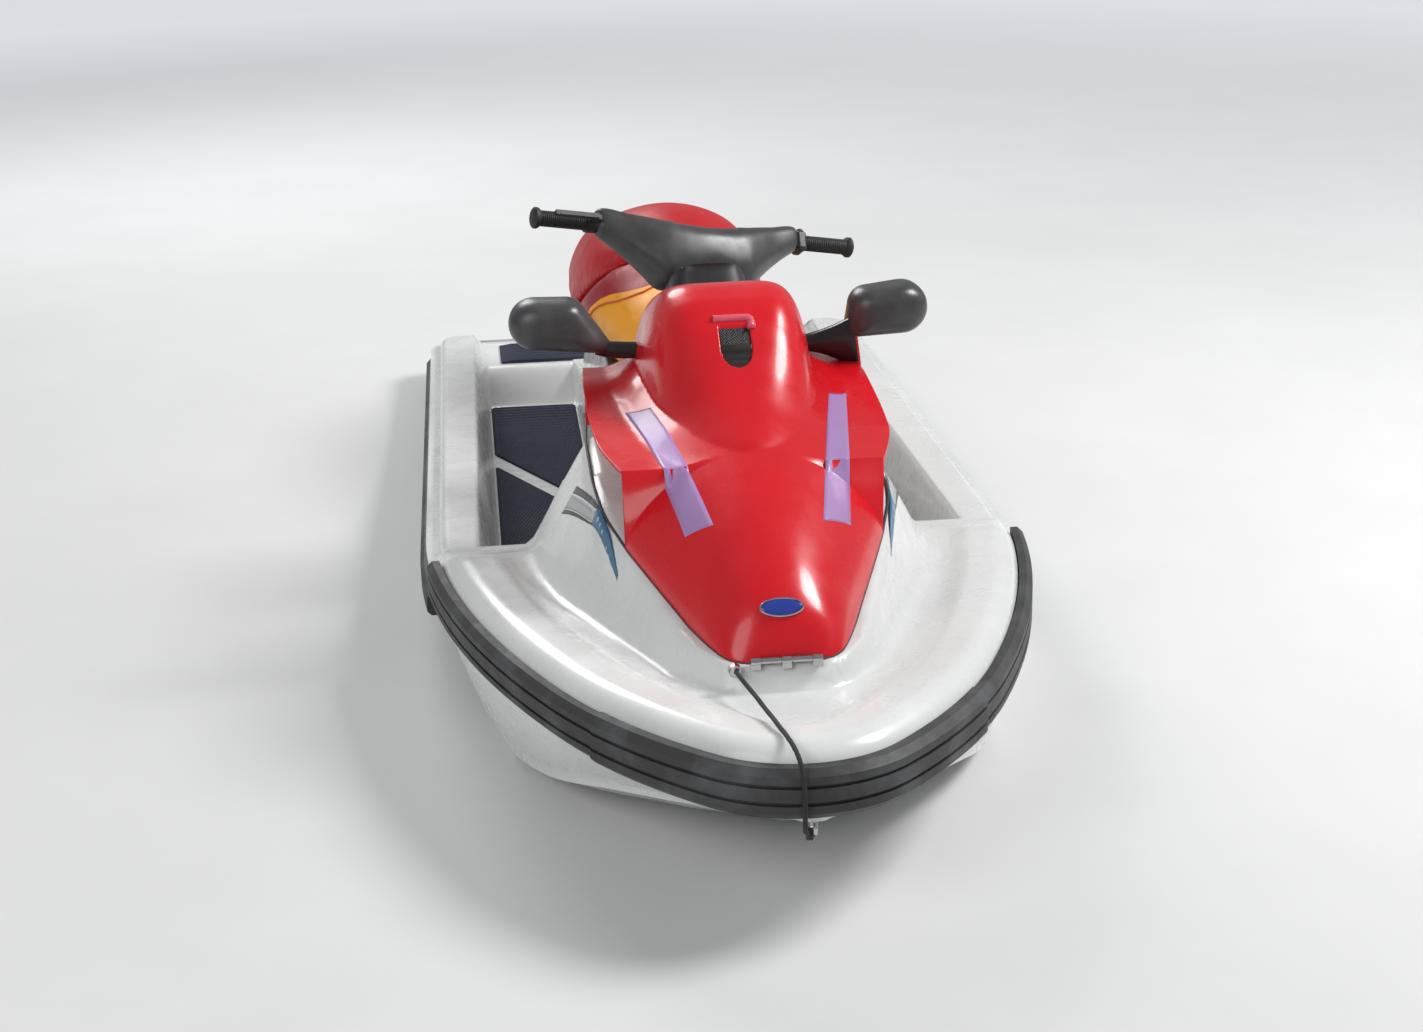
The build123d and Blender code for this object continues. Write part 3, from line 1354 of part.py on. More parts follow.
parts = {
    "hull": hull,
    "deck": deck,
    "coaming": coaming,
    "pedestal": build_pedestal(deck, hull, coaming),
    "bumper_bow": build_bumper_bow(),
    "hood": hood,
    "vent_mesh": build_vent_mesh(),
    "badge": build_badge(form),
    "hinge_base": build_hinge_base(coaming),
    "hinge_arms": build_hinge_arms(form),
    "steering_cowl": cowl,
    "shift_lever": build_shift_lever(cowl),
    "handlebar": bar,
    "handlebar_pad": build_pad(bar),
    "steering_boot": build_boot(bar),
    "throttle_lever": build_throttle(bar),
    "switch_box": build_switches(bar),
    "seat_base": build_seat_base(),
    "seat_front": seat_front,
    "seat_rear": seat_rear,
    "grab_handle": build_grab_handle(seat_rear),
    "engine_block": build_engine(),
    "pump_plate": build_pump_plate(),
    "pump_ring": build_pump_ring(),
    "pump_housing": build_pump_housing(),
    "drive_shaft": shaft,
    "impeller": build_impeller(shaft),
    "steering_nozzle": build_nozzle(),
    "reverse_bucket": build_bucket(),
    "bucket_brackets": build_brackets(),
    "intake_grate": build_grate(),
    "ride_plate": build_ride_plate(),
    "platform_mat": build_platform_mat(),
    "bow_eye": build_bow_eye(hull),
    "stern_eyes": build_stern_eyes(hull),
    "drain_plugs": build_drain_plugs(hull),
}
parts["bow_line"] = build_bow_line(parts["bow_eye"], coaming)
parts["line_knot"] = build_knot(parts["bow_eye"], parts["bow_line"])
parts["line_grommet"] = build_grommet(coaming, parts["bow_line"])
for name, side in (("port", 1), ("starboard", -1)):
    parts["bumper_" + name] = build_bumper_side(side)
    parts["rub_rail_" + name] = build_rail(side)
    parts["mirror_" + name] = build_mirror(side)
    parts["mirror_glass_" + name] = build_glass(side)
    parts["mirror_stalk_" + name] = build_stalk(side, form, parts["mirror_" + name])
    parts["grip_" + name] = build_grip(side, bar)
    parts["mat_front_" + name] = build_mat_front(side)
    parts["mat_rear_" + name] = build_mat_rear(side)
    parts["sponson_" + name] = build_sponson(side, hull)

for node, shape in parts.items():
    save(shape, node)
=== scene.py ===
import math
from contextlib import contextmanager

import bmesh
import bpy
import numpy as np
from mathutils import Matrix, Vector
from mathutils.bvhtree import BVHTree


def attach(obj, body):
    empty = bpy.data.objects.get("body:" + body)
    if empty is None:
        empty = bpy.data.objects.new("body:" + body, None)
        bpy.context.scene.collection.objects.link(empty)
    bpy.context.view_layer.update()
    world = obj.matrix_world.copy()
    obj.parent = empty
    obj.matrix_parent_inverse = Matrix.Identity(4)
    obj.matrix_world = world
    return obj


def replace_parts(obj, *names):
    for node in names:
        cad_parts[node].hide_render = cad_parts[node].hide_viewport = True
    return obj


# Personal watercraft, afloat. Shapes are worked out in millimetres, with heights above the keel line,
# and turned into metres above the waterline as each mesh is made.

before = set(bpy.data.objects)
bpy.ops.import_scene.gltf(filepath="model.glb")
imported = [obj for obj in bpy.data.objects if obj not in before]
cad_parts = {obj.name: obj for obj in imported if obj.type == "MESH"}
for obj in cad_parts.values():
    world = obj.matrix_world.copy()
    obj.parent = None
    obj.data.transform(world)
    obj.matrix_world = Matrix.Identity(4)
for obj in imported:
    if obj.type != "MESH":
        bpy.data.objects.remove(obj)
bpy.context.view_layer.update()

DRAUGHT = 235
LENGTH = 3150
BEAM = 1200
BOW_Y = -LENGTH / 2
STERN_Y = 1490
SHEER_HEIGHT = 408
SHEER_SLOPE = 150 / LENGTH
STERN_CORNER = 95

# Arcs of the bow in plan: radius, and the heading in degrees at which each ends
BOW_ARCS = ((2236, 25.7), (1020, 46.9))
HEADING_SLACK = 0.01
STATION_SLACK = 0.001

SIDES = ((1, "port"), (-1, "starboard"))


def place(x, y, height):
    """A point in metres from millimetres, with its height above the keel."""
    return (x / 1000, y / 1000, (height - DRAUGHT) / 1000)


def in_millimetres(point):
    """The way back from metres, to a height above the keel."""
    return (point[0] * 1000, point[1] * 1000, point[2] * 1000 + DRAUGHT)


def ramp(value, start, end):
    """0 before start, 1 after end, smooth between."""
    t = np.clip((value - start) / (end - start), 0, 1)
    return t * t * (3 - 2 * t)


def soft_max(a, b, k):
    """The larger of two heights, with the corner between them rounded over k."""
    h = np.clip(0.5 + 0.5 * (a - b) / k, 0, 1)
    return b * (1 - h) + a * h + k * h * (1 - h)


def soft_min(a, b, k):
    return -soft_max(-a, -b, k)


def table(value, rows, column):
    """A smooth curve through one column of a table whose first column is the station."""
    rows = sorted(rows)
    xs = np.array([row[0] for row in rows], float)
    ys = np.array([row[column] for row in rows], float)
    steps = np.diff(ys) / np.diff(xs)
    slopes = np.zeros(len(xs))
    slopes[0], slopes[-1] = steps[0], steps[-1]
    for i in range(1, len(xs) - 1):
        a, b = steps[i - 1], steps[i]
        slopes[i] = 0 if a * b <= 0 else 2 * a * b / (a + b)
    value = np.clip(value, xs[0], xs[-1])
    i = np.clip(np.searchsorted(xs, value) - 1, 0, len(xs) - 2)
    gap = xs[i + 1] - xs[i]
    t = (value - xs[i]) / gap
    h00 = (1 + 2 * t) * (1 - t) ** 2
    h10 = t * (1 - t) ** 2
    h01 = t * t * (3 - 2 * t)
    h11 = t * t * (t - 1)
    return h00 * ys[i] + h10 * gap * slopes[i] + h01 * ys[i + 1] + h11 * gap * slopes[i + 1]


def row_at(value, rows):
    """All the columns of a table at one station."""
    return [float(table(value, rows, column)) for column in range(1, len(rows[0]))]


def height_at(height, x, y):
    """One value of a height function that takes arrays."""
    return float(height(np.array([float(x)]), np.array([float(y)]))[0])


def sheer(y):
    return SHEER_HEIGHT - SHEER_SLOPE * y


# Plan outline

def bow_arcs():
    """The three tangent arcs of the bow: centre, radius and the two headings, in degrees."""
    arcs = []
    heading = 0
    x, y = BEAM / 2, 0
    for radius, end in BOW_ARCS + ((None, 90),):
        c, s = math.cos(math.radians(heading)), math.sin(math.radians(heading))
        if radius is None:
            radius = x / c
        cx, cy = x - radius * c, y + radius * s
        arcs.append((cx, cy, radius, heading, end))
        x = cx + radius * math.cos(math.radians(end))
        y = cy - radius * math.sin(math.radians(end))
        heading = end
    shift = BOW_Y - y
    return [(cx, cy + shift, radius, a, b) for cx, cy, radius, a, b in arcs]


ARCS = bow_arcs()


def inset(x, y):
    """How far a point lies inside the plan outline."""
    ax = np.abs(x)
    d = np.minimum(BEAM / 2 - ax, STERN_Y - y)
    corner_x, corner_y = BEAM / 2 - STERN_CORNER, STERN_Y - STERN_CORNER
    in_corner = (ax > corner_x) & (y > corner_y)
    d = np.where(in_corner, STERN_CORNER - np.hypot(ax - corner_x, y - corner_y), d)
    for cx, cy, radius, a, b in ARCS:
        heading = np.degrees(np.arctan2(cy - y, ax - cx))
        inside = (heading >= a) & (heading <= b + HEADING_SLACK)
        d = np.where(inside, np.minimum(d, radius - np.hypot(ax - cx, y - cy)), d)
    return d


def half_width(y, depth):
    """The outline's half width at a station, inset by a depth."""
    if y <= BOW_Y + depth:
        return 0
    half = BEAM / 2 - depth
    for cx, cy, radius, a, b in ARCS:
        r = radius - depth
        if cy - r * math.sin(math.radians(b)) - STATION_SLACK <= y <= cy - r * math.sin(math.radians(a)):
            half = cx + math.sqrt(max(r * r - (cy - y) ** 2, 0))
    corner_y = STERN_Y - STERN_CORNER
    if y > corner_y:
        r = STERN_CORNER - depth
        half = BEAM / 2 - STERN_CORNER + math.sqrt(max(r * r - (y - corner_y) ** 2, 0))
    return half


# Mesh helpers

FILM_THICK = 0.0006
FILM_LIFT = 0.5
STRAND_GROOVE = 0.13


def add_object(name, data):
    made = bpy.data.objects.new(name, data)
    bpy.context.scene.collection.objects.link(made)
    return made


def add_mesh(name, verts, faces, body, mat, sharp=None):
    """A new piece from points in metres: shaded smooth, riding on a body, with its material."""
    mesh = bpy.data.meshes.new(name)
    mesh.from_pydata(verts, [], faces)
    mesh.update()
    piece = add_object(name, mesh)
    mesh.shade_smooth()
    if sharp is not None:
        mesh.set_sharp_from_angle(angle=math.radians(sharp))
    mesh.materials.append(mat)
    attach(piece, body)
    return piece


def grid_faces(rows, columns, loop=False):
    """Quads between the points of a grid, row by row."""
    faces = []
    last = columns if loop else columns - 1
    for r in range(rows - 1):
        for c in range(last):
            n = (c + 1) % columns
            faces.append((r * columns + c, r * columns + n, (r + 1) * columns + n, (r + 1) * columns + c))
    return faces


def spread(stops, steps):
    """Grid lines from stop to stop, with a step size of its own for each stretch."""
    lines = []
    for (a, b), step in zip(zip(stops, stops[1:]), steps):
        count = max(1, round(abs(b - a) / step))
        lines += [a + (b - a) * i / count for i in range(count)]
    return lines + [stops[-1]]


def mirrored(shares):
    """Shares of the half width from -1 to 1, from those on one side."""
    return [-u for u in reversed(shares[1:])] + shares


def shares_of(steps):
    """Even shares from 0 to 1."""
    return [i / steps for i in range(steps + 1)]


def round_turn(sides):
    """Evenly spaced angles once round."""
    return [2 * math.pi * k / sides for k in range(sides)]


def squared(value, power):
    """A sine or cosine bent so that a circle becomes a rounded box."""
    return math.copysign(abs(value) ** power, value)


def between(corners, u, v):
    """A point among four plan corners: v from the first to the second, u from these to the other two."""
    a, b, c, d = (np.array(p, float) for p in corners)
    return (a * (1 - u) + d * u) * (1 - v) + (b * (1 - u) + c * u) * v


@contextmanager
def editing(piece):
    """A piece's mesh, opened for changes and then put back."""
    bm = bmesh.new()
    bm.from_mesh(piece.data)
    yield bm
    bm.to_mesh(piece.data)
    bm.free()


def outward(piece):
    """Turns all faces to face outward."""
    with editing(piece) as bm:
        bmesh.ops.recalc_face_normals(bm, faces=bm.faces)
    return piece


def face_up(piece):
    """Turns a film's faces upward."""
    if piece.data.polygons[0].normal.z < 0:
        piece.data.flip_normals()
    return piece


def apply_modifiers(piece):
    """Puts a piece's modifiers into its mesh."""
    deps = bpy.context.evaluated_depsgraph_get()
    mesh = bpy.data.meshes.new_from_object(piece.evaluated_get(deps))
    piece.modifiers.clear()
    old = piece.data
    piece.data = mesh
    bpy.data.meshes.remove(old)
    return piece


def change(piece, kind, **settings):
    """Runs one modifier on a piece."""
    mod = piece.modifiers.new("change", kind)
    for key, value in settings.items():
        setattr(mod, key, value)
    return apply_modifiers(piece)


def closed_skin(name, rings, body, mat, sharp=None):
    """A skin over rings of equally many points in metres, closed at both ends."""
    sides, last = len(rings[0]), len(rings) - 1
    faces = grid_faces(len(rings), sides, loop=True)
    faces += [tuple(reversed(range(sides))), tuple(last * sides + k for k in range(sides))]
    return outward(add_mesh(name, [p for ring in rings for p in ring], faces, body, mat, sharp))


def ring_round(centre, a, b, reaches):
    """Points round a centre in the plane of two directions, with a reach for each."""
    turns = zip(round_turn(len(reaches)), reaches)
    return [place(*(centre + reach * (math.cos(turn) * a + math.sin(turn) * b))) for turn, reach in turns]


def frames(points):
    """Each point with two directions across the line, turned as little as possible from one to the next."""
    spots = [Vector(p) for p in points]
    rows = []
    side = None
    for i, spot in enumerate(spots):
        along = (spots[min(i + 1, len(spots) - 1)] - spots[max(i - 1, 0)]).normalized()
        side = along.orthogonal() if side is None else side - side.dot(along) * along
        side = side.normalized()
        rows.append((spot, side, along.cross(side)))
    return rows


def tube(name, points, radius, body, mat, sides, lobes=0, twist=0.0):
    """A tube along points in millimetres. With lobes, it is a rope of that many strands."""
    rings = []
    for i, (centre, a, b) in enumerate(frames(points)):
        grooves = [STRAND_GROOVE * (1 + math.cos(lobes * turn + twist * i)) / 2 * (lobes > 0)
                   for turn in round_turn(sides)]
        rings.append(ring_round(centre, a, b, [radius * (1 - groove) for groove in grooves]))
    return closed_skin(name, rings, body, mat)


def lathe(name, origin, along, profile, body, mat, sides, sharp):
    """A closed turned form: a profile of distance and radius about a line, in millimetres."""
    along = along.normalized()
    a = along.orthogonal().normalized()
    b = along.cross(a)
    rings = [ring_round(origin + distance * along, a, b, [radius] * sides) for distance, radius in profile]
    return closed_skin(name, rings, body, mat, sharp)


def surface_film(name, corners, height, body, mat, long, wide):
    """A thin film laid over a skin between four plan corners, in so many steps long and wide."""
    verts = []
    for u in shares_of(long):
        for v in shares_of(wide):
            x, y = between(corners, u, v)
            verts.append(place(x, y, height_at(height, x, y) + FILM_LIFT))
    film = face_up(add_mesh(name, verts, grid_faces(long + 1, wide + 1), body, mat))
    change(film, "SOLIDIFY", thickness=FILM_THICK, offset=-1)


# Materials

VINYL_GRAIN = 430


def new_material(name, rough, metallic=0.0, coat=0.0, specular=0.5):
    mat = bpy.data.materials.new(name)
    mat.use_nodes = True
    shader = mat.node_tree.nodes["Principled BSDF"]
    shader.inputs["Roughness"].default_value = rough
    shader.inputs["Metallic"].default_value = metallic
    shader.inputs["Coat Weight"].default_value = coat
    shader.inputs["Coat Roughness"].default_value = 0.08
    shader.inputs["Specular IOR Level"].default_value = specular
    return mat, mat.node_tree, shader


def node(tree, kind, **values):
    """A shader node with its sockets set by name."""
    made = tree.nodes.new(kind)
    for key, value in values.items():
        socket = key.replace("_", " ")
        if socket in made.inputs:
            made.inputs[socket].default_value = value
        else:
            setattr(made, key, value)
    return made


def coords(tree, scale=(1, 1, 1)):
    """Object coordinates in metres, stretched by a scale."""
    source = node(tree, "ShaderNodeTexCoord")
    mapping = node(tree, "ShaderNodeMapping", Scale=scale)
    tree.links.new(source.outputs["Object"], mapping.inputs["Vector"])
    return mapping.outputs["Vector"]


def noise(tree, vector, scale, detail):
    made = node(tree, "ShaderNodeTexNoise", Scale=scale, Detail=detail, Roughness=0.6)
    tree.links.new(vector, made.inputs["Vector"])
    return made.outputs["Fac"]


def remap(tree, value, low, high, to_low, to_high):
    made = node(tree, "ShaderNodeMapRange", From_Min=low, From_Max=high, To_Min=to_low, To_Max=to_high)
    tree.links.new(value, made.inputs["Value"])
    return made.outputs["Result"]


def mottle(tree, vector, scale, detail, low, high, to_low=0, to_high=1):
    """Noise, with its values from low to high spread over another range."""
    return remap(tree, noise(tree, vector, scale, detail), low, high, to_low, to_high)


def calculate(tree, operation, *values):
    """A sum on two values, each a float or a socket."""
    made = node(tree, "ShaderNodeMath", operation=operation)
    for socket, value in zip(made.inputs, values):
        if isinstance(value, float):
            socket.default_value = value
        else:
            tree.links.new(value, socket)
    return made.outputs[0]


def blend_colours(tree, factor, a, b):
    """Two colours mixed by a factor. Each colour is numbers or a socket."""
    made = node(tree, "ShaderNodeMix", data_type="RGBA")
    tree.links.new(factor, made.inputs["Factor"])
    rgba = [socket for socket in made.inputs if socket.type == "RGBA"]
    for socket, colour in zip(rgba, (a, b)):
        if isinstance(colour, tuple):
            socket.default_value = (*colour, 1)
        else:
            tree.links.new(colour, socket)
    return next(socket for socket in made.outputs if socket.type == "RGBA")


def paint(tree, shader, colour, gloss):
    tree.links.new(colour, shader.inputs["Base Color"])
    tree.links.new(gloss, shader.inputs["Roughness"])


def bump(tree, shader, height, strength, distance):
    made = node(tree, "ShaderNodeBump", Strength=strength, Distance=distance)
    tree.links.new(height, made.inputs["Height"])
    tree.links.new(made.outputs["Normal"], shader.inputs["Normal"])


def bump_cells(tree, shader, vector, scale):
    """A relief of small cells with creases between them."""
    cell = node(tree, "ShaderNodeTexVoronoi", Scale=scale)
    tree.links.new(vector, cell.inputs["Vector"])
    bump(tree, shader, cell.outputs["Distance"], 0.35, 0.0006)


def gelcoat(name, colour, worn, rough=0.2):
    """Glossy gelcoat with faint clouding, fine scuffs and dust in its gloss."""
    mat, tree, shader = new_material(name, rough, coat=0.25, specular=0.35)
    vector = coords(tree)
    base = blend_colours(tree, mottle(tree, vector, 3, 4, 0.35, 0.75), colour, worn)
    scuff = mottle(tree, coords(tree, (1, 0.3, 1)), 40, 2, 0.62, 0.8, 0, 0.3)
    gloss = mottle(tree, vector, 14, 3, 0.3, 0.8, rough, rough + 0.2)
    paint(tree, shader, blend_colours(tree, scuff, base, worn), gloss)
    bump(tree, shader, noise(tree, vector, 60, 1), 0.02, 0.0006)
    return mat


def plastic(name, colour, worn, rough=0.42, grain=900, depth=0.0004):
    """Moulded plastic with a fine grain, greyer where it is worn."""
    mat, tree, shader = new_material(name, rough)
    vector = coords(tree)
    wear = mottle(tree, vector, 9, 8, 0.45, 0.75)
    gloss = mottle(tree, vector, 25, 6, 0.3, 0.8, rough - 0.07, rough + 0.12)
    paint(tree, shader, blend_colours(tree, wear, colour, worn), gloss)
    bump(tree, shader, noise(tree, vector, grain, 3), 0.3, depth)
    return mat


def metal(name, colour, rough, grain=(1, 40, 1)):
    """Brushed or cast metal."""
    mat, tree, shader = new_material(name, rough, metallic=1.0)
    line = noise(tree, coords(tree, grain), 60, 6)
    darker = tuple(0.7 * c for c in colour)
    gloss = remap(tree, line, 0.3, 0.8, rough - 0.08, rough + 0.15)
    paint(tree, shader, blend_colours(tree, line, darker, colour), gloss)
    bump(tree, shader, line, 0.15, 0.0003)
    return mat


def vinyl(name, colour, dark, grain=VINYL_GRAIN):
    """Grained vinyl: small cells with creases, softly shiny."""
    mat, tree, shader = new_material(name, 0.4, specular=0.25)
    vector = coords(tree)
    cloud = mottle(tree, vector, 6, 6, 0.4, 0.75, 0, 0.8)
    gloss = mottle(tree, vector, 18, 6, 0.3, 0.8, 0.33, 0.52)
    paint(tree, shader, blend_colours(tree, cloud, colour, dark), gloss)
    bump_cells(tree, shader, vector, grain)
    return mat


def ribbed(name, colour, worn, pitch):
    """Foam matting with fine ribs across it."""
    mat, tree, shader = new_material(name, 0.75, specular=0.3)
    wave = node(tree, "ShaderNodeTexWave", Scale=1 / (math.pi * pitch), Distortion=0.0, bands_direction="Y")
    tree.links.new(coords(tree), wave.inputs["Vector"])
    grime = mottle(tree, coords(tree), 7, 8, 0.45, 0.8, 0, 0.7)
    tree.links.new(blend_colours(tree, grime, colour, worn), shader.inputs["Base Color"])
    bump(tree, shader, wave.outputs["Fac"], 0.8, 0.002)
    return mat


def mirror_glass():
    """Silvered glass with a little dust."""
    mat, tree, shader = new_material("mirror_glass", 0.04, metallic=1.0)
    tree.links.new(mottle(tree, coords(tree), 12, 8, 0.4, 0.8, 0.03, 0.14), shader.inputs["Roughness"])
    shader.inputs["Base Color"].default_value = (0.75, 0.78, 0.8, 1)
    return mat


WHITE = gelcoat("gelcoat_white", (0.74, 0.75, 0.74), (0.66, 0.67, 0.655))
RED = gelcoat("gelcoat_red", (0.66, 0.006, 0.014), (0.56, 0.006, 0.012))
BADGE = gelcoat("badge_blue", (0.02, 0.04, 0.28), (0.03, 0.06, 0.32), 0.1)
STRIP = gelcoat("strip_lilac", (0.40, 0.24, 0.50), (0.34, 0.2, 0.42), 0.35)
WEDGE_BLUE = gelcoat("wedge_blue", (0.015, 0.10, 0.22), (0.02, 0.14, 0.26), 0.25)
WEDGE_SILVER = gelcoat("wedge_silver", (0.42, 0.44, 0.45), (0.34, 0.36, 0.37), 0.3)
WEDGE_BLACK = gelcoat("wedge_black", (0.012, 0.012, 0.014), (0.03, 0.03, 0.03), 0.3)
# Painted highlight: the ledge's pale pink is the hood's red made paler, where light catches its top
LEDGE_PAINTED_HIGHLIGHT = gelcoat("ledge_painted_highlight", (0.72, 0.10, 0.16), (0.64, 0.08, 0.12), 0.3)
BLACK = plastic("black_plastic", (0.022, 0.022, 0.024), (0.05, 0.05, 0.052))
CHARCOAL = plastic("charcoal_plastic", (0.045, 0.045, 0.047), (0.085, 0.085, 0.085), 0.34)
GLOSS_BLACK = plastic("gloss_black", (0.016, 0.012, 0.013), (0.03, 0.022, 0.024), 0.14)
RUBBER = plastic("bumper_rubber", (0.03, 0.03, 0.031), (0.09, 0.092, 0.095), 0.55, 260, 0.0012)
GRIP = plastic("grip_rubber", (0.02, 0.02, 0.02), (0.04, 0.04, 0.04), 0.6)
MESH = plastic("vent_mesh", (0.012, 0.01, 0.01), (0.03, 0.02, 0.02))
BAR = plastic("bar_paint", (0.015, 0.015, 0.016), (0.04, 0.04, 0.04), 0.28)
ENGINE = plastic("engine_paint", (0.12, 0.125, 0.13), (0.2, 0.2, 0.2), 0.5)
ROPE = plastic("rope_dark", (0.02, 0.02, 0.022), (0.06, 0.06, 0.06), 0.8, 1600, 0.001)
MAT = ribbed("mat_foam", (0.012, 0.018, 0.042), (0.035, 0.04, 0.06), 0.008)
SEAT_RED = vinyl("seat_red", (0.5, 0.010, 0.014), (0.38, 0.008, 0.010))
PIPING = vinyl("seat_piping", (0.66, 0.13, 0.01), (0.5, 0.09, 0.01), 900)
STEEL = metal("stainless", (0.62, 0.62, 0.61), 0.2)
ALLOY = metal("pump_alloy", (0.5, 0.51, 0.52), 0.38, grain=(1, 1, 1))
GLASS = mirror_glass()

CAD_LOOKS = (
    (WHITE, "hull deck coaming pedestal"),
    (RED, "hood"),
    (BADGE, "badge"),
    (MESH, "vent_mesh"),
    (RUBBER, "bumper_bow bumper_port bumper_starboard rub_rail_port rub_rail_starboard"),
    (STEEL, "hinge_base hinge_arms bow_eye stern_eyes drive_shaft impeller line_grommet"),
    (BLACK, "grab_handle steering_boot steering_cowl throttle_lever switch_box shift_lever seat_base"),
    (BLACK, "sponson_port sponson_starboard drain_plugs"),
    (CHARCOAL, "mirror_port mirror_starboard mirror_stalk_starboard handlebar_pad"),
    (GLOSS_BLACK, "mirror_stalk_port"),
    (GLASS, "mirror_glass_port mirror_glass_starboard"),
    (BAR, "handlebar"),
    (GRIP, "grip_port grip_starboard"),
    (SEAT_RED, "seat_front seat_rear"),
    (ENGINE, "engine_block"),
    (ALLOY, "pump_plate pump_ring pump_housing steering_nozzle reverse_bucket bucket_brackets"),
    (ALLOY, "intake_grate ride_plate"),
    (MAT, "platform_mat mat_front_port mat_front_starboard mat_rear_port mat_rear_starboard"),
    (ROPE, "bow_line line_knot"),
)


def dress_cad():
    """Gives every CAD node its procedural material."""
    for mat, names in CAD_LOOKS:
        for name in names.split():
            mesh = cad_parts[name].data
            mesh.materials.clear()
            mesh.materials.append(mat)


dress_cad()


# Hood: its plan and rim, and its skin as a height over the plan

HOOD_BACK_Y = -372
HOOD_NOSE_Y = -1266
HOOD_WALL = 0.006
NOSE_ROUND = 56
NOSE_CENTRE_X = 50
NOSE_CORNER = 23
NOSE_RISE = 46
HOOD_POWER, HOOD_POWER_GAIN, HOOD_FILLS = 1.5, 0.6, (-700, -400)

# Station y, half width, crown height
HOOD_TABLE = (
    (-372, 262, 862), (-500, 268, 860), (-620, 268, 850), (-760, 262, 828), (-876, 234, 799),
    (-1000, 190, 762), (-1111, 148, 716), (-1200, 116, 664), (-1266, 86, 600),
)

# Station y, rim height
RIM_LINE = ((-1340, 560), (-1130, 574), (-760, 664), (-300, 690))

# Raised middle: station y, half width at its foot, top height
HUMP_TABLE = (
    (-372, 166, 950), (-450, 164, 977), (-525, 160, 993), (-580, 154, 983), (-640, 147, 946),
    (-713, 132, 889), (-770, 114, 855), (-820, 92, 830), (-860, 65, 811), (-885, 40, 796), (-900, 14, 772),
)
HUMP_TIP_Y = -899
HUMP_SUNK = 24
HUMP_BLEND = 22
HUMP_POWER, HUMP_POWER_GAIN, HUMP_FILLS, HUMP_ROUND = 2.3, 3.6, (-800, -520), 0.72
VENT_Y = -676
VENT_LONG = 72
VENT_HALF = 28
VENT_DEPTH = 9
BACK_ROWS = 24
BACK_INSET = 1.5
# Radius of the dark tube that paints the shadow in the gap under the hood's rim
GAP_SHADOW_R = 2.6


def hood_half(y):
    """Half width of the hood's plan, with round corners at its nose."""
    y = np.asarray(y, float)
    half = table(y, HOOD_TABLE, 1)
    centre = HOOD_NOSE_Y + NOSE_ROUND
    reach = np.sqrt(np.clip(NOSE_ROUND ** 2 - (y - centre) ** 2, 0, None))
    return np.where(y < centre - NOSE_CORNER, np.minimum(half, NOSE_CENTRE_X + reach), half)


def rim_height(y):
    return np.interp(y, *zip(*RIM_LINE))


def hood_skin(x, y):
    """Height of the hood's surface, without the raised middle."""
    share = np.clip(np.abs(x) / np.maximum(hood_half(y), 1), 0, 1)
    rim = rim_height(y)
    nose = np.clip((y - HOOD_NOSE_Y) / NOSE_RISE, 0, 1)
    crown = rim + (table(y, HOOD_TABLE, 2) - rim) * np.sqrt(1 - (1 - nose) ** 2)
    power = 1 / (HOOD_POWER + HOOD_POWER_GAIN * ramp(y, *HOOD_FILLS))
    return rim + (crown - rim) * np.clip(1 - share ** 2, 0, 1) ** power


def hump_skin(x, y):
    """Height of the raised middle: a broad crown with round shoulders, rounder towards its tip."""
    foot, crown = table(y, HUMP_TABLE, 1), table(y, HUMP_TABLE, 2)
    base = hood_skin(foot, y) - HUMP_SUNK
    across = np.clip(np.abs(x) / np.maximum(foot, 1), 0, 1)
    power = HUMP_POWER + HUMP_POWER_GAIN * ramp(y, *HUMP_FILLS)
    return base + (crown - base) * np.clip(1 - across ** power, 0, 1) ** HUMP_ROUND


def vent_width(along):
    """The vent's width as a share: square at its top, round towards the bow."""
    near = np.clip(along / 0.5, 0, 1)
    return np.sqrt(np.clip(1 - (1 - near) ** 2, 0.0004, 1))


def vent_space(x, y):
    """1 inside the shield shape of the vent, 0 outside."""
    along = (y - VENT_Y + VENT_LONG / 2) / VENT_LONG
    inside = ramp(VENT_HALF * vent_width(along) - np.abs(x), -1.5, 1.5)
    return inside * ramp(along, -0.03, 0.03) * ramp(1 - along, -0.03, 0.03)


def hood_height(x, y):
    skin = hood_skin(x, y)
    with_hump = np.where(y > HUMP_TIP_Y, soft_max(skin, hump_skin(x, y), HUMP_BLEND), skin)
    return with_hump - VENT_DEPTH * vent_space(x, y)


def hood_outline():
    """Points round one side of the hood's plan, from the back to the middle of the nose."""
    ys = np.concatenate([np.linspace(HOOD_BACK_Y + 60, -1200, 150), np.linspace(-1201, HOOD_NOSE_Y, 40)])
    side = np.stack([hood_half(ys), ys], axis=1)
    nose = np.stack([np.linspace(side[-1, 0], 0, 12), np.full(12, HOOD_NOSE_Y)], axis=1)
    return np.concatenate([side, nose])


def grid_piece(name, ys, columns, height, half, body, mat):
    """A skin over the plan: rows at each y, columns as shares of the half width there."""
    rows = np.repeat(np.array(ys, float)[:, None], len(columns), axis=1)
    across = np.array([[u * half(y) for u in columns] for y in ys], float)
    points = np.stack([across, rows, height(across, rows)], axis=-1).reshape(-1, 3)
    return add_mesh(name, [place(*p) for p in points], grid_faces(len(ys), len(columns)), body, mat)


def build_hood():
    """Red hood, one skin with the raised middle and the recess for the vent."""
    ys = spread((HOOD_NOSE_Y, -1250, -1200, -920, -724, -630, -560, HOOD_BACK_Y), (1.5, 4, 9, 5, 1.8, 6, 7))
    lines = spread((0, 0.11, 0.125, 0.42, 0.72, 0.96, 1), (0.0085, 0.0075, 0.012, 0.011, 0.015, 0.006))
    columns = mirrored(lines)
    hood = grid_piece("hood_shell", ys, columns, hood_height, hood_half, "hood", RED)
    change(hood, "SOLIDIFY", thickness=HOOD_WALL, offset=-1)
    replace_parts(hood, "hood")
    build_hood_back(columns)
    build_gap_shadow()


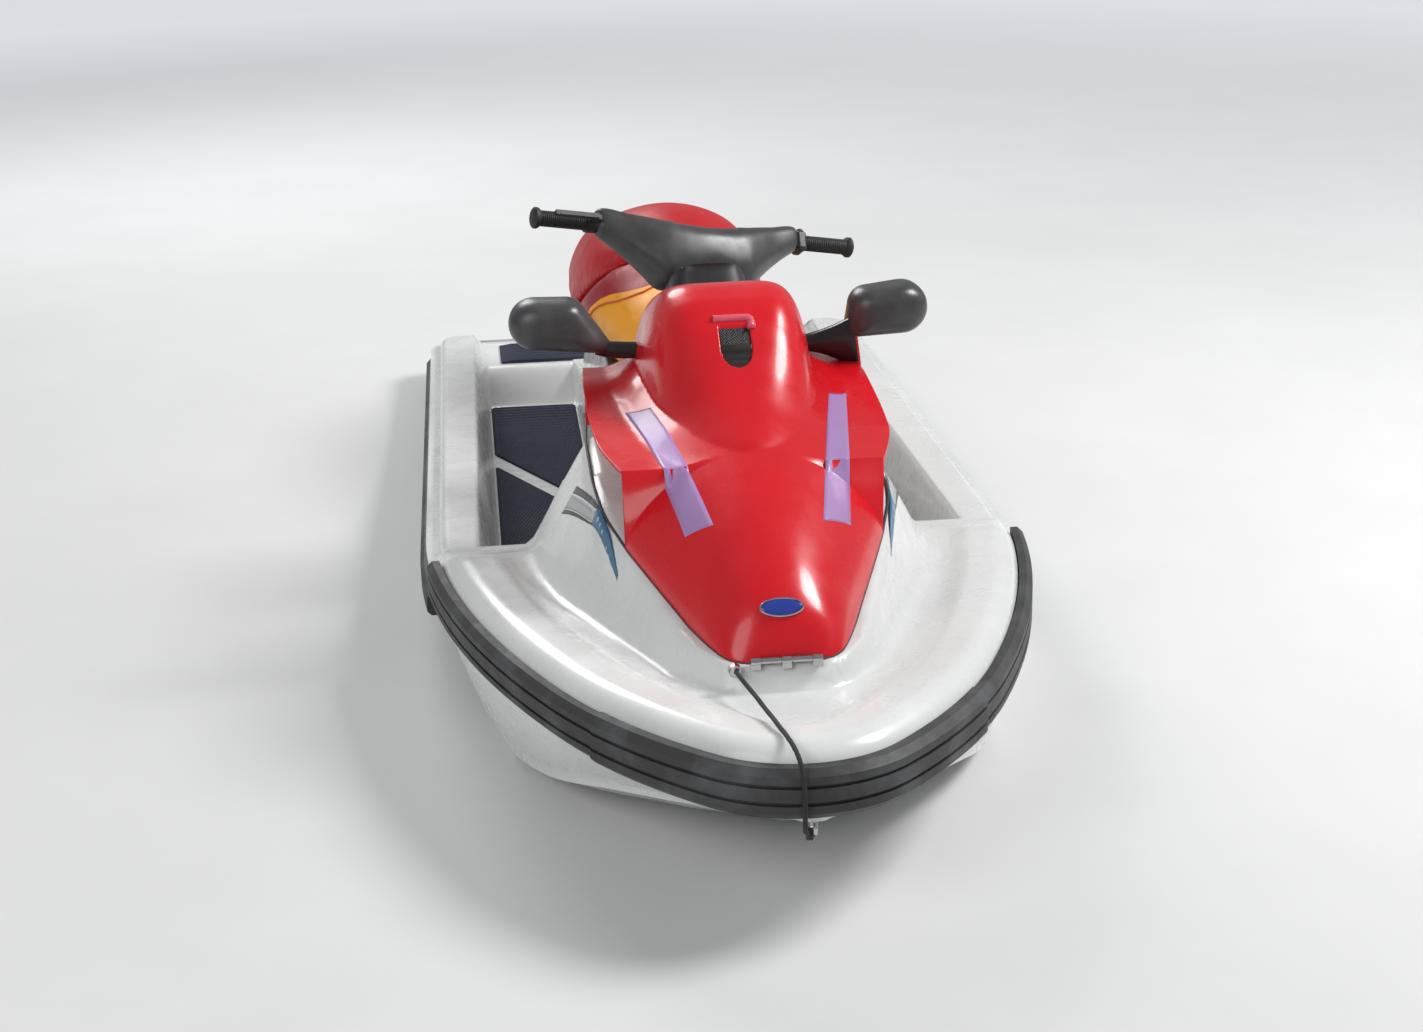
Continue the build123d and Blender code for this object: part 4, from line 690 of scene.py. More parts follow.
def build_hood_back(columns):
    """The wall that closes the hood towards the rider."""
    half = float(hood_half(HOOD_BACK_Y)) - BACK_INSET
    low = float(rim_height(HOOD_BACK_Y))
    verts = []
    for share in shares_of(BACK_ROWS):
        for u in columns:
            top = height_at(hood_height, u * half, HOOD_BACK_Y) - BACK_INSET
            verts.append(place(u * half, HOOD_BACK_Y - 1, low + (top - low) * share))
    back = add_mesh("hood_back", verts, grid_faces(BACK_ROWS + 1, len(columns)), "hood", RED)
    change(back, "SOLIDIFY", thickness=0.005, offset=-1 if back.data.polygons[0].normal.y > 0 else 1)


def build_gap_shadow():
    """The dark strip between the hood's rim and the deck: a black rubber tube that paints the shadow in the
    gap there.
    """
    side = hood_outline()[::4]
    line = [(x - 2, y) for x, y in side] + [(2 - x, y) for x, y in side[::-1][1:]]
    points = [(x, y, float(rim_height(y)) - 2) for x, y in line]
    # Painted shadow: a black tube laid along the rim, where the gap under the hood is in shade
    tube("hood_gap_shadow", points, GAP_SHADOW_R, "hull", RUBBER, 8)


# Deck: one moulding from the bumper to the platform. Slopes are heights per step across.

RAIL_EDGE = 40
SHOULDER_EDGE = 28
EDGE_SLACK = 0.01
RAIL_RISE = 27
SHOULDER_RISE = 25
CREST = 16
RAIL_ROUND = 22
SHOULDER_ROUND = 28
COAMING_FOOT = 22
COAMING_FOOT_GAIN = 36
COAMING_SLOPE = 4.6
COAMING_LEVEL = 566
COAMING_BLEND = 34
WELL_FOOT_X = 440
WELL_INNER_X = 207
WELL_FLOOR = 252
WELL_FRONT_Y = -312
WELL_ROUND = 26
PLATFORM = 338
PLATFORM_X = 460
PLATFORM_Y = 1080
WALL_SLOPE = 6
FRONT_SLOPE = 8
OUTER_SLOPE = 5
INNER_SLOPE = 7
BOX_SLOPE = 7.5
EDGE_ROUND = 14
SEAT_BOX_X = 165
SEAT_BOX_TOP = 590
SEAT_BOX_BACK_Y = 1026
BIN_HALF, BIN_RIM, BIN_ENDS, BIN_FLOOR = 165, 24, (-1028, -522), 332
BAY_HALF, BAY_ENDS, BAY_FLOOR = 150, (-278, 518), 100
HOLE_SIDE = 6
HOLE_END = 4

# Where forms change: distances ahead of the middle, then one inset and two spans of stations
EDGE_STEPS = (392, 420)
SHOULDER_STARTS = (400, 540)
CREST_STARTS = (480, 600)
ROUNDING_GROWS = (400, 600)
NOSE_STEEPENS = (1180, 1300)
CREST_WIDTH = (116, 170)
COAMING_SPREADS = (-930, -560)
WELL_RISES = (1120, 1240)


def beyond_hood(x, y):
    """How far a point lies outside the hood's plan, less than 0 inside it."""
    best = np.full(x.shape, 1e9)
    for px, py in hood_outline():
        best = np.minimum(best, np.hypot(np.abs(x) - px, y - py))
    inside = (np.abs(x) < hood_half(y)) & (y > HOOD_NOSE_Y)
    return np.where(inside, -best, best)


def deck_edge(y):
    """Inset of the deck's outer edge from the beam."""
    return RAIL_EDGE - (RAIL_EDGE - SHOULDER_EDGE) * ramp(-y, *EDGE_STEPS)


def deck_half(y):
    return half_width(y, float(deck_edge(y)) + EDGE_SLACK)


def foredeck(x, y):
    """Gunwale, shoulders and the shallow valley inside them."""
    depth = inset(x, y)
    level = RAIL_RISE + SHOULDER_RISE * ramp(-y, *SHOULDER_STARTS)
    crest = CREST * ramp(-y, *CREST_STARTS) * (1 - ramp(depth, *CREST_WIDTH))
    rounding = RAIL_ROUND + SHOULDER_ROUND * ramp(-y, *ROUNDING_GROWS)
    into = np.clip(depth - deck_edge(y), 0, rounding)
    fall = rounding - np.sqrt(rounding ** 2 - (rounding - into) ** 2)
    return sheer(y) + level + crest - fall


def coaming(x, y):
    """The slope that rises from the deck to the hood's rim, gentler at its foot."""
    out = beyond_hood(x, y)
    out = out * (1 + 1.4 * ramp(-y, *NOSE_STEEPENS) * (out > 0))
    foot = COAMING_FOOT + COAMING_FOOT_GAIN * ramp(y, *COAMING_SPREADS)
    steep = COAMING_SLOPE * COAMING_FOOT / foot
    slope = COAMING_LEVEL + (foot - out) * np.where(out > foot, 2, steep)
    return soft_min(slope, rim_height(y) - 2, 10)


def well_height(x, y):
    """Footwell floor with walls round it that rise until the deck cuts them off."""
    ax = np.abs(x)
    floor = WELL_FLOOR + (PLATFORM - WELL_FLOOR) * ramp(y, *WELL_RISES)
    front = WELL_FLOOR + np.clip(WELL_FRONT_Y - y, -60, 60) + FRONT_SLOPE * np.clip(HOOD_BACK_Y - y, 0, None)
    outer = floor + OUTER_SLOPE * (ax - WELL_FOOT_X)
    inner = floor + INNER_SLOPE * (WELL_INNER_X - ax)
    return soft_max(soft_max(floor, front, WELL_ROUND), soft_max(outer, inner, 8), WELL_ROUND)


def seat_box(x, y):
    """The pedestal under the seat, with leaning sides and ends."""
    sides = BOX_SLOPE * np.clip(np.abs(x) - SEAT_BOX_X, 0, None)
    back = WALL_SLOPE * np.clip(y - SEAT_BOX_BACK_Y, 0, None)
    return SEAT_BOX_TOP - sides - back - FRONT_SLOPE * np.clip(HOOD_BACK_Y - y, 0, None)


def sink(top, x, y, half, ends, floor):
    """A surface with a steep-walled hole in it between two stations."""
    front, back = ends
    hole = ramp(half - np.abs(x), 0, HOLE_SIDE) * ramp(y, front - HOLE_END, front + HOLE_END)
    hole = hole * ramp(-y, -back - HOLE_END, -back + HOLE_END)
    return top * (1 - hole) + floor * hole


def deck_height(x, y):
    base = foredeck(x, y)
    fore = soft_max(base, coaming(x, y), COAMING_BLEND)
    top = fore + (base - fore) * ramp(y, HOOD_BACK_Y, HOOD_BACK_Y + COAMING_BLEND)
    top = soft_min(top, well_height(x, y), EDGE_ROUND)
    walls = np.clip(np.abs(x) - PLATFORM_X, 0, None) + np.clip(PLATFORM_Y - y, 0, None)
    platform = PLATFORM + WALL_SLOPE * walls
    top = soft_min(top, platform, EDGE_ROUND)
    top = soft_max(top, seat_box(x, y), EDGE_ROUND)
    top = sink(top, x, y, np.minimum(BIN_HALF, hood_half(y) - BIN_RIM), BIN_ENDS, BIN_FLOOR)
    return sink(top, x, y, BAY_HALF, BAY_ENDS, BAY_FLOOR)


def build_deck():
    """White deck moulding, with a skirt round its edge that reaches down to the hull."""
    ys = spread(
        (BOW_Y + SHOULDER_EDGE, -1530, -1290, -1040, -1020, -540, -510, -390, -300, -286, -268,
         500, 530, 1010, 1075, 1110, 1250, 1440, STERN_Y - RAIL_EDGE),
        (3, 6, 9, 2.5, 9, 2.5, 9, 3, 7, 2.5, 16, 2.5, 16, 4, 12, 6, 12, 6),
    )
    lines = spread((0, 140, 152, 160, 215, 425, 485, 530, 562), (20, 3, 4, 3, 16, 3.2, 6, 3))
    columns = mirrored([v / lines[-1] for v in lines])
    deck = grid_piece("deck_moulding", ys, columns, deck_height, deck_half, "hull", WHITE)
    add_skirt(deck)
    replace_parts(deck, "deck", "coaming", "pedestal")


def add_skirt(piece):
    """Draws the open edge of a skin down to the sheer plane."""
    with editing(piece) as bm:
        made = bmesh.ops.extrude_edge_only(bm, edges=[e for e in bm.edges if e.is_boundary])
        for v in made["geom"]:
            if isinstance(v, bmesh.types.BMVert):
                v.co.z = (sheer(v.co.y * 1000) - DRAUGHT) / 1000
    outward(piece)


build_deck()
build_hood()


# Hull

# Sections from stern to bow: station y, inset of the chine from the beam, chine height, keel height
HULL_TABLE = (
    (1490, 100, 160, 14), (1100, 92, 156, 6), (700, 90, 156, 0), (-80, 92, 164, 0), (-430, 105, 182, 0),
    (-760, 145, 214, 10), (-1030, 222, 268, 148), (-1240, 335, 338, 264), (-1400, 435, 390, 351),
    (-1510, 520, 430, 411), (-1585, 584, 452, 440),
)
HULL_INSET = 14
CHINE_LIP = 8
BOTTOM_STEPS = 12
SIDE_STEPS = 11
STRAKE = 5
SIDE_SWELL = 6

# Half width and side view, as y and height, of the tunnel and of the pump bay
TUNNEL = (124, ((560, -60), (560, 36), (800, 232), (1500, 232), (1500, -60)))
PUMP_BAY = (172, ((1300, -60), (1300, 306), (1500, 306), (1500, -60)))


def hull_section(y):
    """Half a section from the keel up round the chine to the deck's edge."""
    chine_inset, chine_z, keel_z = row_at(y, HULL_TABLE)
    sheer_x = half_width(y, HULL_INSET)
    chine_x = min(BEAM / 2 - chine_inset, sheer_x - 6)
    top = sheer(y) - 0.5
    chine_z = min(chine_z, top - 20)
    keel_z = min(keel_z, chine_z - 4)
    points = []
    for t in shares_of(BOTTOM_STEPS):
        step = STRAKE * (t > 0.4) + STRAKE * (t > 0.72)
        points.append((chine_x * t, keel_z + (chine_z - keel_z) * (t ** 1.08) - step * (1 - t)))
    points += [(chine_x + CHINE_LIP, chine_z + 3), (chine_x + CHINE_LIP, chine_z + 14)]
    x0, z0 = min(chine_x + CHINE_LIP, sheer_x), chine_z + 14
    for t in shares_of(SIDE_STEPS)[1:]:
        swollen = x0 + (sheer_x - x0) * t ** 0.9 + SIDE_SWELL * math.sin(math.pi * t)
        points.append((min(swollen, sheer_x), z0 + (top - z0) * t))
    points.append((half_width(y, float(deck_edge(y)) + 6), top))
    return points


def build_hull():
    """White hull shell, cut out underneath for the jet pump and open at the deck."""
    rings = []
    for y in spread((STERN_Y - HULL_INSET, 1380, 1300, -700, -1300, -1500, BOW_Y + HULL_INSET + 1),
                    (5, 16, 50, 25, 12, 4)):
        half = hull_section(y)
        rings.append([place(x, y, z) for x, z in [(-x, z) for x, z in reversed(half)] + half[1:]])
    hull = closed_skin("hull_shell", rings, "hull", WHITE, 38)
    cut_out(hull, *TUNNEL)
    cut_out(hull, *PUMP_BAY)
    open_top(hull)
    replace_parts(hull, "hull")


def cut_out(piece, half, profile):
    """Cuts a block across the craft out of a piece, from a side-view profile of y and height."""
    count = len(profile)
    verts = [place(x, y, z) for x in (-half, half) for y, z in profile]
    faces = [tuple(reversed(range(count))), tuple(range(count, 2 * count))]
    faces += [(i, (i + 1) % count, count + (i + 1) % count, count + i) for i in range(count)]
    mesh = bpy.data.meshes.new("cutter")
    mesh.from_pydata(verts, [], faces)
    cutter = outward(add_object("cutter", mesh))
    change(piece, "BOOLEAN", operation="DIFFERENCE", object=cutter, solver="EXACT")
    bpy.data.objects.remove(cutter)


def open_top(piece):
    """Takes away the lid between the two sides of the hull, which the deck covers."""
    with editing(piece) as bm:
        lid = []
        for f in bm.faces:
            x, y, z = in_millimetres(f.calc_center_median())
            level = abs(f.normal.z) > 0.9 and abs(z - sheer(y)) < 12
            if level and abs(x) < 0.5 * half_width(y, RAIL_EDGE):
                lid.append(f)
        bmesh.ops.delete(bm, geom=lid, context="FACES")


build_hull()


# Seat

SEAT_FRONT_Y = -36
SEAT_LONG = 1076
SEAT_LOW = 606

# Share of its length, half width at the base and at the shoulder, shoulder height, crown height
SEAT_TABLE = (
    (0, 104, 70, 760, 792), (0.12, 132, 92, 752, 788), (0.28, 172, 120, 768, 812), (0.43, 212, 150, 792, 856),
    (0.61, 236, 172, 806, 888), (0.82, 238, 176, 780, 838), (1, 206, 150, 736, 784),
)
SEAT_SPLIT = 0.365
SEAM_GAP = 0.003
SPLIT_TILT = 330
SEAT_EDGE = 0.012
SEAT_ROWS = 11
SEAT_COLUMNS = 11
SEAT_VOXEL = 0.0075
SWELL_CAP = 0.007
CLOTH_FRAMES = 15
CLOTH = {
    "quality": 5, "mass": 0.3, "tension_stiffness": 25, "compression_stiffness": 25, "bending_stiffness": 6,
    "use_pressure": True, "uniform_pressure_force": 4,
}

# Where the yellow front ends: y and height on the seat's sides
YELLOW_SEAM = ((240, 806), (262, 786), (290, 771), (330, 757), (381, 734), (430, 703), (477, 663), (522, 606))
SEAM_BLUR = 0.0006
PIPING_R = 3.2
PIPING_REACH = 96


def seat_ring(share, shrink):
    """One section of a cushion as x and height, from the port base over the crown."""
    base, shoulder, shoulder_z, crown = row_at(share, SEAT_TABLE)
    half = [
        (base - 6, SEAT_LOW), (base + 3, SEAT_LOW + 26),
        (0.55 * base + 0.45 * shoulder + 12, 0.5 * (SEAT_LOW + shoulder_z)), (shoulder + 16, shoulder_z - 6),
        (0.66 * shoulder, crown - 0.34 * (crown - shoulder_z)), (0, crown + 3),
    ]
    ring = half + [(-x, z) for x, z in reversed(half[:-1])]
    middle = 0.5 * (SEAT_LOW + crown)
    return [(x * (1 - shrink), middle + (z - middle) * (1 - shrink)) for x, z in ring]


def seat_point(share, k, shrink, tilt):
    """Where one of the section's points lies when the section leans aft at its base by a tilt."""
    height = seat_ring(share, 0)[k][1]
    crown = float(table(share, SEAT_TABLE, 4))
    share = min(share + tilt * (crown - height) / (crown - SEAT_LOW) / SEAT_LONG, 1)
    x, z = seat_ring(share, shrink)[k]
    return place(x, SEAT_FRONT_Y + SEAT_LONG * share, z)


def cushion(name, start, end, mat):
    """A closed cushion between two shares of the seat, swelled by cloth and smoothed."""
    rows = [(start, 0.16), (start, 0.05), (start + SEAT_EDGE, SEAT_EDGE)]
    rows += [(share, SEAT_EDGE) for share in np.linspace(start, end, SEAT_ROWS)[1:-1]]
    rows += [(end - SEAT_EDGE, SEAT_EDGE), (end, 0.05), (end, 0.16)]
    rings = []
    for share, shrink in rows:
        lean = share / SEAT_SPLIT if share < SEAT_SPLIT else (1 - share) / (1 - SEAT_SPLIT)
        tilt = SPLIT_TILT * ramp(lean, 0, 1)
        rings.append([seat_point(share, k, shrink, tilt) for k in range(SEAT_COLUMNS)])
    pad = closed_skin(name, rings, "seat", mat)
    change(pad, "SUBSURF", levels=3, render_levels=3)
    swell(pad)
    return pad


def swell(pad):
    """Puffs a closed form like a cover over foam. No point moves further than the cap."""
    change(pad, "REMESH", mode="VOXEL", voxel_size=SEAT_VOXEL)
    rest = [v.co.copy() for v in pad.data.vertices]
    settings = pad.modifiers.new("cloth", "CLOTH").settings
    for key, value in CLOTH.items():
        setattr(settings, key, value)
    settings.effector_weights.gravity = 0
    for frame_number in range(1, CLOTH_FRAMES + 1):
        bpy.context.scene.frame_set(frame_number)
    apply_modifiers(pad)
    bpy.context.scene.frame_set(1)
    for v, home in zip(pad.data.vertices, rest):
        move = v.co - home
        if move.length > SWELL_CAP:
            v.co = home + move * (SWELL_CAP / move.length)
        v.co.z = max(v.co.z, (SEAT_LOW - DRAUGHT) / 1000)
    change(pad, "SMOOTH", factor=0.5, iterations=4)
    change(pad, "SUBSURF", levels=1, render_levels=1)
    pad.data.shade_smooth()


def landed(piece, rays):
    """Where rays meet a piece, in millimetres. Each ray is a start and a direction in metres."""
    tree = BVHTree.FromObject(piece, bpy.context.evaluated_depsgraph_get())
    spots = [tree.ray_cast(Vector(start), Vector(along))[0] for start, along in rays]
    return [in_millimetres(spot) for spot in spots if spot]


def seam_mask(tree, vector):
    """1 ahead of the yellow seam, 0 behind it."""
    split = node(tree, "ShaderNodeSeparateXYZ")
    tree.links.new(vector, split.inputs["Vector"])
    curve = node(tree, "ShaderNodeFloatCurve")
    points = curve.mapping.curves[0].points
    spots = [place(0, y, height)[1:] for y, height in YELLOW_SEAM]
    points[0].location, points[1].location = spots[:2]
    for spot in spots[2:]:
        points.new(*spot)
    for point in points:
        point.handle_type = "VECTOR"
    curve.mapping.update()
    tree.links.new(split.outputs["Y"], curve.inputs["Value"])
    below = calculate(tree, "SUBTRACT", curve.outputs["Value"], split.outputs["Z"])
    ahead = calculate(tree, "SUBTRACT", spots[0][0], split.outputs["Y"])
    return remap(tree, calculate(tree, "MAXIMUM", below, ahead), -SEAM_BLUR, SEAM_BLUR, 0, 1)


def band_vinyl():
    """Vinyl of the front cushion: dark red, and yellow ahead of the seam."""
    mat, tree, shader = new_material("seat_band", 0.45, specular=0.22)
    vector = coords(tree)
    cloud = mottle(tree, vector, 5, 6, 0.35, 0.75)
    band = blend_colours(tree, cloud, (0.34, 0.006, 0.018), (0.27, 0.006, 0.014))
    both = blend_colours(tree, seam_mask(tree, vector), band, (0.90, 0.36, 0.004))
    grime = mottle(tree, coords(tree, (1, 0.4, 1)), 11, 8, 0.5, 0.8, 0, 0.35)
    gloss = mottle(tree, vector, 18, 6, 0.3, 0.8, 0.34, 0.55)
    paint(tree, shader, blend_colours(tree, grime, both, (0.10, 0.03, 0.02)), gloss)
    bump_cells(tree, shader, vector, VINYL_GRAIN)
    return mat


def build_seat():
    """Two cushions with piping along the yellow seam, over the black tray."""
    front = cushion("seat_cushion_front", 0.0, SEAT_SPLIT - SEAM_GAP / 2, band_vinyl())
    rear = cushion("seat_cushion_rear", SEAT_SPLIT + SEAM_GAP / 2, 1.0, SEAT_RED)
    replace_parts(front, "seat_front")
    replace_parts(rear, "seat_rear")
    top_y, foot_y = YELLOW_SEAM[0][0], YELLOW_SEAM[-1][0]
    ys = np.linspace(top_y, foot_y, 70)
    heights = np.interp(ys, *zip(*YELLOW_SEAM))
    lines = {}
    for side, name in SIDES:
        lines[name] = [(place(side * 400, y, height), (-side, 0, -0.08)) for y, height in zip(ys, heights)]
    xs = np.linspace(-PIPING_REACH, PIPING_REACH, 30)
    lines["top"] = [((x / 1000, top_y / 1000, 1), (0, 0, -1)) for x in xs]
    for name, rays in lines.items():
        tube("piping_" + name, landed(front, rays), PIPING_R, "seat", PIPING, 8)


build_seat()


# Steering: a frame of its own, with x along the bars and z along the steering axis

STEER_ORIGIN = Vector((0, -27, 972))
STEER_LEAN = math.radians(35)
STEER_REST = math.radians(20)
STEER_X = Vector((math.cos(STEER_REST), math.sin(STEER_REST) * math.cos(STEER_LEAN),
                  -math.sin(STEER_REST) * math.sin(STEER_LEAN)))
STEER_Z = Vector((0, math.sin(STEER_LEAN), math.cos(STEER_LEAN)))
STEER_Y = STEER_Z.cross(STEER_X)

# Pad sections on one side: distance along the bars, size fore and aft, thickness, rise, shift forward
PAD_HALF = (
    (0, 126, 112, -57, 8), (50, 122, 128, -61, 8), (85, 114, 138, -60, 8), (125, 94, 112, -41, 6),
    (165, 74, 84, -20, 2), (215, 54, 56, 2, 0), (226, 44, 46, 4, 0),
)
PAD_TABLE = PAD_HALF + tuple((-row[0], *row[1:]) for row in PAD_HALF[1:])
PAD_END = PAD_HALF[-1][0]
PAD_SIDES = 44
PAD_CREASE_X = 66
BOOT_LOW = -134
BOOT_HIGH = -106
BOOT_STEPS = 28
BOOT_RIBS = 4
GRIP_RIBS = 22
GRIP_PITCH = 4.4
GRIP_INNER = ((236, 12), (237, 20), (241, 20.5), (243, 16))
GRIP_RIB = ((246, 14.6), (246.8, 16.2), (248.6, 16.2), (249.4, 14.6))
GRIP_CAP = ((344, 15), (346, 19), (350, 21.5), (356, 21.5), (359, 18), (360, 9))

# Column cover: height, half width, front y, back y
COWL_TABLE = ((590, 112, -362, -44), (780, 100, -358, -46), (900, 80, -300, -52), (960, 66, -262, -58))
COWL_TOP = -139
COWL_SIDES = 64


def build_pad():
    """The moulded pad over the middle of the bars: deep at the column, swept thin to its ends."""
    rings = []
    for x in spread((-PAD_END, -215, 215, PAD_END), (2.2, 6, 2.2)):
        deep, tall, rise, shift = row_at(x, PAD_TABLE)
        end = min(1, (PAD_END - abs(x)) / 10)
        full = 0.72 + 0.28 * math.sqrt(max(0, 1 - (1 - end) ** 2))
        ring = []
        for turn in round_turn(PAD_SIDES):
            c, s = math.cos(turn), math.sin(turn)
            across = squared(c, 0.72) * deep / 2 * full - shift
            above = squared(s, 0.62 if s > 0 else 0.8) * tall / 2 * full
            crease = 3.5 * math.exp(-((abs(x) - PAD_CREASE_X) / 5) ** 2) * max(s, 0)
            spot = STEER_ORIGIN + x * STEER_X + across * STEER_Y + (rise + above - crease) * STEER_Z
            ring.append(place(*spot))
        rings.append(ring)
    pad = closed_skin("bar_pad", rings, "steering", CHARCOAL, 50)
    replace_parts(pad, "handlebar_pad")


def build_boot():
    """The bellows round the column, under the pad."""
    profile = []
    for t in shares_of(BOOT_STEPS):
        rib = 2.2 * math.sin(t * math.pi * 2 * BOOT_RIBS)
        profile.append((BOOT_LOW + (BOOT_HIGH - BOOT_LOW) * t, 62 - 12 * t + rib))
    boot = lathe("steering_bellows", STEER_ORIGIN, STEER_Z, profile, "steering", BLACK,
                 48, 60)
    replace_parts(boot, "steering_boot")


def build_grips():
    """Rubber grips with fine ribs, a flange inboard and a cap outboard."""
    ribs = tuple((a + i * GRIP_PITCH, r) for i in range(GRIP_RIBS) for a, r in GRIP_RIB)
    profile = GRIP_INNER + ribs + GRIP_CAP
    for side, name in SIDES:
        grip = lathe("bar_grip_" + name, STEER_ORIGIN, side * STEER_X, profile, "steering", GRIP,
                     28, 35)
        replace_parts(grip, "grip_" + name)


def build_cowl():
    """The black cover round the steering column, cut off square to the column's lean."""
    rings = []
    for z in spread((590, 780, 975), (19, 6)):
        half, front, back = row_at(z, COWL_TABLE)
        ring = []
        for turn in round_turn(COWL_SIDES):
            x = half * squared(math.cos(turn), 0.5)
            y = (front + back) / 2 + (back - front) / 2 * squared(math.sin(turn), 0.5)
            over = STEER_ORIGIN.z + (COWL_TOP - (y - STEER_ORIGIN.y) * STEER_Z.y) / STEER_Z.z
            ring.append(place(x, y, min(z, over)))
        rings.append(ring)
    cowl = closed_skin("column_cowl", rings, "hull", BLACK, 40)
    change(cowl, "BEVEL", width=0.008, segments=3, angle_limit=math.radians(40))
    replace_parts(cowl, "steering_cowl")


build_pad()
build_boot()
build_grips()
build_cowl()


# Mirrors and their arms

MIRROR_X = 322
MIRROR_Y = -400
MIRROR_Z = 896

# Circles whose common outline is the mirror: x outward, height, radius
LOBES = {
    "port": ((34, 2, 50), (-34, 8, 36), (-66, -40, 12)),
    "starboard": ((30, 2, 48), (-34, 12, 36), (-104, -48, 12)),
}

# Rings towards the bow: offset and scale of the outline
SHELL_RINGS = (
    (-24, 0.885), (-29, 0.89), (-32, 0.90), (-32.5, 0.93), (-31, 0.965), (-27, 0.985), (-16, 1.0), (-4, 1.0),
    (8, 0.975), (18, 0.925), (27, 0.84), (34, 0.72), (39, 0.57), (42.5, 0.38), (44, 0.16),
)
PANE_RINGS = ((-25, 0.88), (-28.5, 0.88), (-29.2, 0.868), (-29.6, 0.6), (-29.8, 0.3))

# Arm sections outward from the hood: x, middle height, depth fore and aft, height
STALKS = {
    "port": (
        (128, 836, 30, 26), (160, 838, 30, 30), (190, 838, 32, 44), (220, 836, 35, 68), (243, 834, 38, 92),
        (256, 833, 39, 104),
    ),
    "starboard": (
        (128, 838, 32, 30), (160, 840, 32, 30), (190, 842, 31, 31), (214, 845, 28, 30), (232, 848, 22, 24),
    ),
}
STALK_FOOT_X = 128

# The lip round the port arm's end: distance past it, growth of the section
LIP = ((-0.5, -1), (-0.5, 1.6), (3.5, 1.6), (3.5, -3))


def hull_of(points):
    """The points on the outside of a set, in order round it."""
    points = sorted(set(points))
    chains = []
    for run in (points, points[::-1]):
        chain = []
        for p in run:
            while len(chain) > 1:
                (ax, ay), (bx, by) = chain[-2], chain[-1]
                if (bx - ax) * (p[1] - ay) - (by - ay) * (p[0] - ax) > 0:
                    break
                chain.pop()
            chain.append(p)
        chains += chain[:-1]
    return chains


def mirror_outline(name, count=64):
    """The mirror from the front, as evenly spaced points."""
    ring = hull_of((round(x + r * math.cos(turn), 3), round(z + r * math.sin(turn), 3))
                   for x, z, r in LOBES[name] for turn in round_turn(72))
    ring.append(ring[0])
    along = np.concatenate([[0], np.cumsum([math.dist(a, b) for a, b in zip(ring, ring[1:])])])
    spots = np.linspace(0, along[-1], count, endpoint=False)
    xs, zs = zip(*ring)
    return list(zip(np.interp(spots, along, xs), np.interp(spots, along, zs)))


def mirror_skin(name, side, outline, rows, mat, sharp):
    """A closed skin over scaled copies of the mirror's outline."""
    rings = []
    for offset, scale in rows:
        y = MIRROR_Y - offset
        rings.append([place(side * (MIRROR_X + x * scale), y, MIRROR_Z + z * scale) for x, z in outline])
    return closed_skin(name, rings, "hood", mat, sharp)


def build_mirror(side, name):
    """A domed housing with a glass set into its open face."""
    outline = mirror_outline(name)
    shell = mirror_skin("mirror_shell_" + name, side, outline, SHELL_RINGS, CHARCOAL, 48)
    pane = mirror_skin("mirror_pane_" + name, side, outline, PANE_RINGS, GLASS, 30)
    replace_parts(shell, "mirror_" + name)
    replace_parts(pane, "mirror_glass_" + name)


def stalk_ring(side, name, x, past=0, grow=0, sides=28):
    """A rounded section of an arm, which leans outward at its foot."""
    middle, deep, tall = row_at(x, STALKS[name])
    points = []
    for turn in round_turn(sides):
        dy = squared(math.cos(turn), 0.7) * (deep / 2 + grow)
        dz = squared(math.sin(turn), 0.7) * (tall / 2 + grow)
        lean = 0.13 * (60 - dz) * (x - STALK_FOOT_X) / STALK_FOOT_X
        points.append(place(side * (x + lean) + past, MIRROR_Y - 4 + dy, middle + dz))
    return points


def build_stalk(side, name):
    """The arm out to the mirror. The port one flares, with a red lip round its outer end."""
    foot, end = STALKS[name][0][0], STALKS[name][-1][0]
    rings = [stalk_ring(side, name, x) for x in spread((foot, end), (8,))]
    arm = closed_skin("mirror_arm_" + name, rings, "hood", GLOSS_BLACK, 50)
    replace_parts(arm, "mirror_stalk_" + name)
    if name == "port":
        rings = [stalk_ring(side, name, end, past, grow) for past, grow in LIP]
        closed_skin("mirror_lip_" + name, rings, "hood", RED, 30)


for mirror_side, mirror_name in SIDES:
    build_mirror(mirror_side, mirror_name)
    build_stalk(mirror_side, mirror_name)


# Hood details: vent, ledge, badge and blank strips

VENT_SUNK = 5
SLAT, SLAT_PITCH = 3.5, 10
WEAVE, WEAVE_PITCH = 1.2, 5
VENT_BAR = 4.0
VENT_BAR_FROM = 0.45
VENT_BAR_TO = 0.56
LEDGE_Y = -626
LEDGE_R = 7.5
BADGE_SPOT = Vector((0, -1224, 640))
BADGE_LEAN = math.radians(45)
BADGE_WIDE = 36
BADGE_TALL = 17

# Rows of the badge: reach past its edge, lift from the hood
BADGE_FACE = ((-3, -4), (-3, 2.2), (-5, 3.1), (-9, 3.8), (-13, 4.2), (-16, 4.3))
BADGE_RIM = ((0, -5), (0, 2.6), (-0.9, 3.6), (-2.2, 3.6), (-3.1, 2.4), (-3.1, -4))

# Plan corners of the strips on the hood
STRIPS = {
    "starboard": ((-201, -633), (-156, -656), (-88, -1044), (-134, -1022)),
    "port": ((178, -612), (214, -592), (152, -998), (98, -1040)),
}
WEDGE_AFT_Y = -560
WEDGE_FORE_Y = -765
WEDGE_TIPS = {"port": (237, -922), "starboard": (237, -942)}

# Films of the wedges on the deck: name, material, steps wide, x at the aft corners and at the fore ones
WEDGES = (
    ("dark", WEDGE_BLACK, 3, (291, 299), (266, 262)),
    ("grey", WEDGE_SILVER, 3, (301, 316), (275, 268)),
    ("edge", WEDGE_BLACK, 2, (317, 322), (277, 275.6)),
)


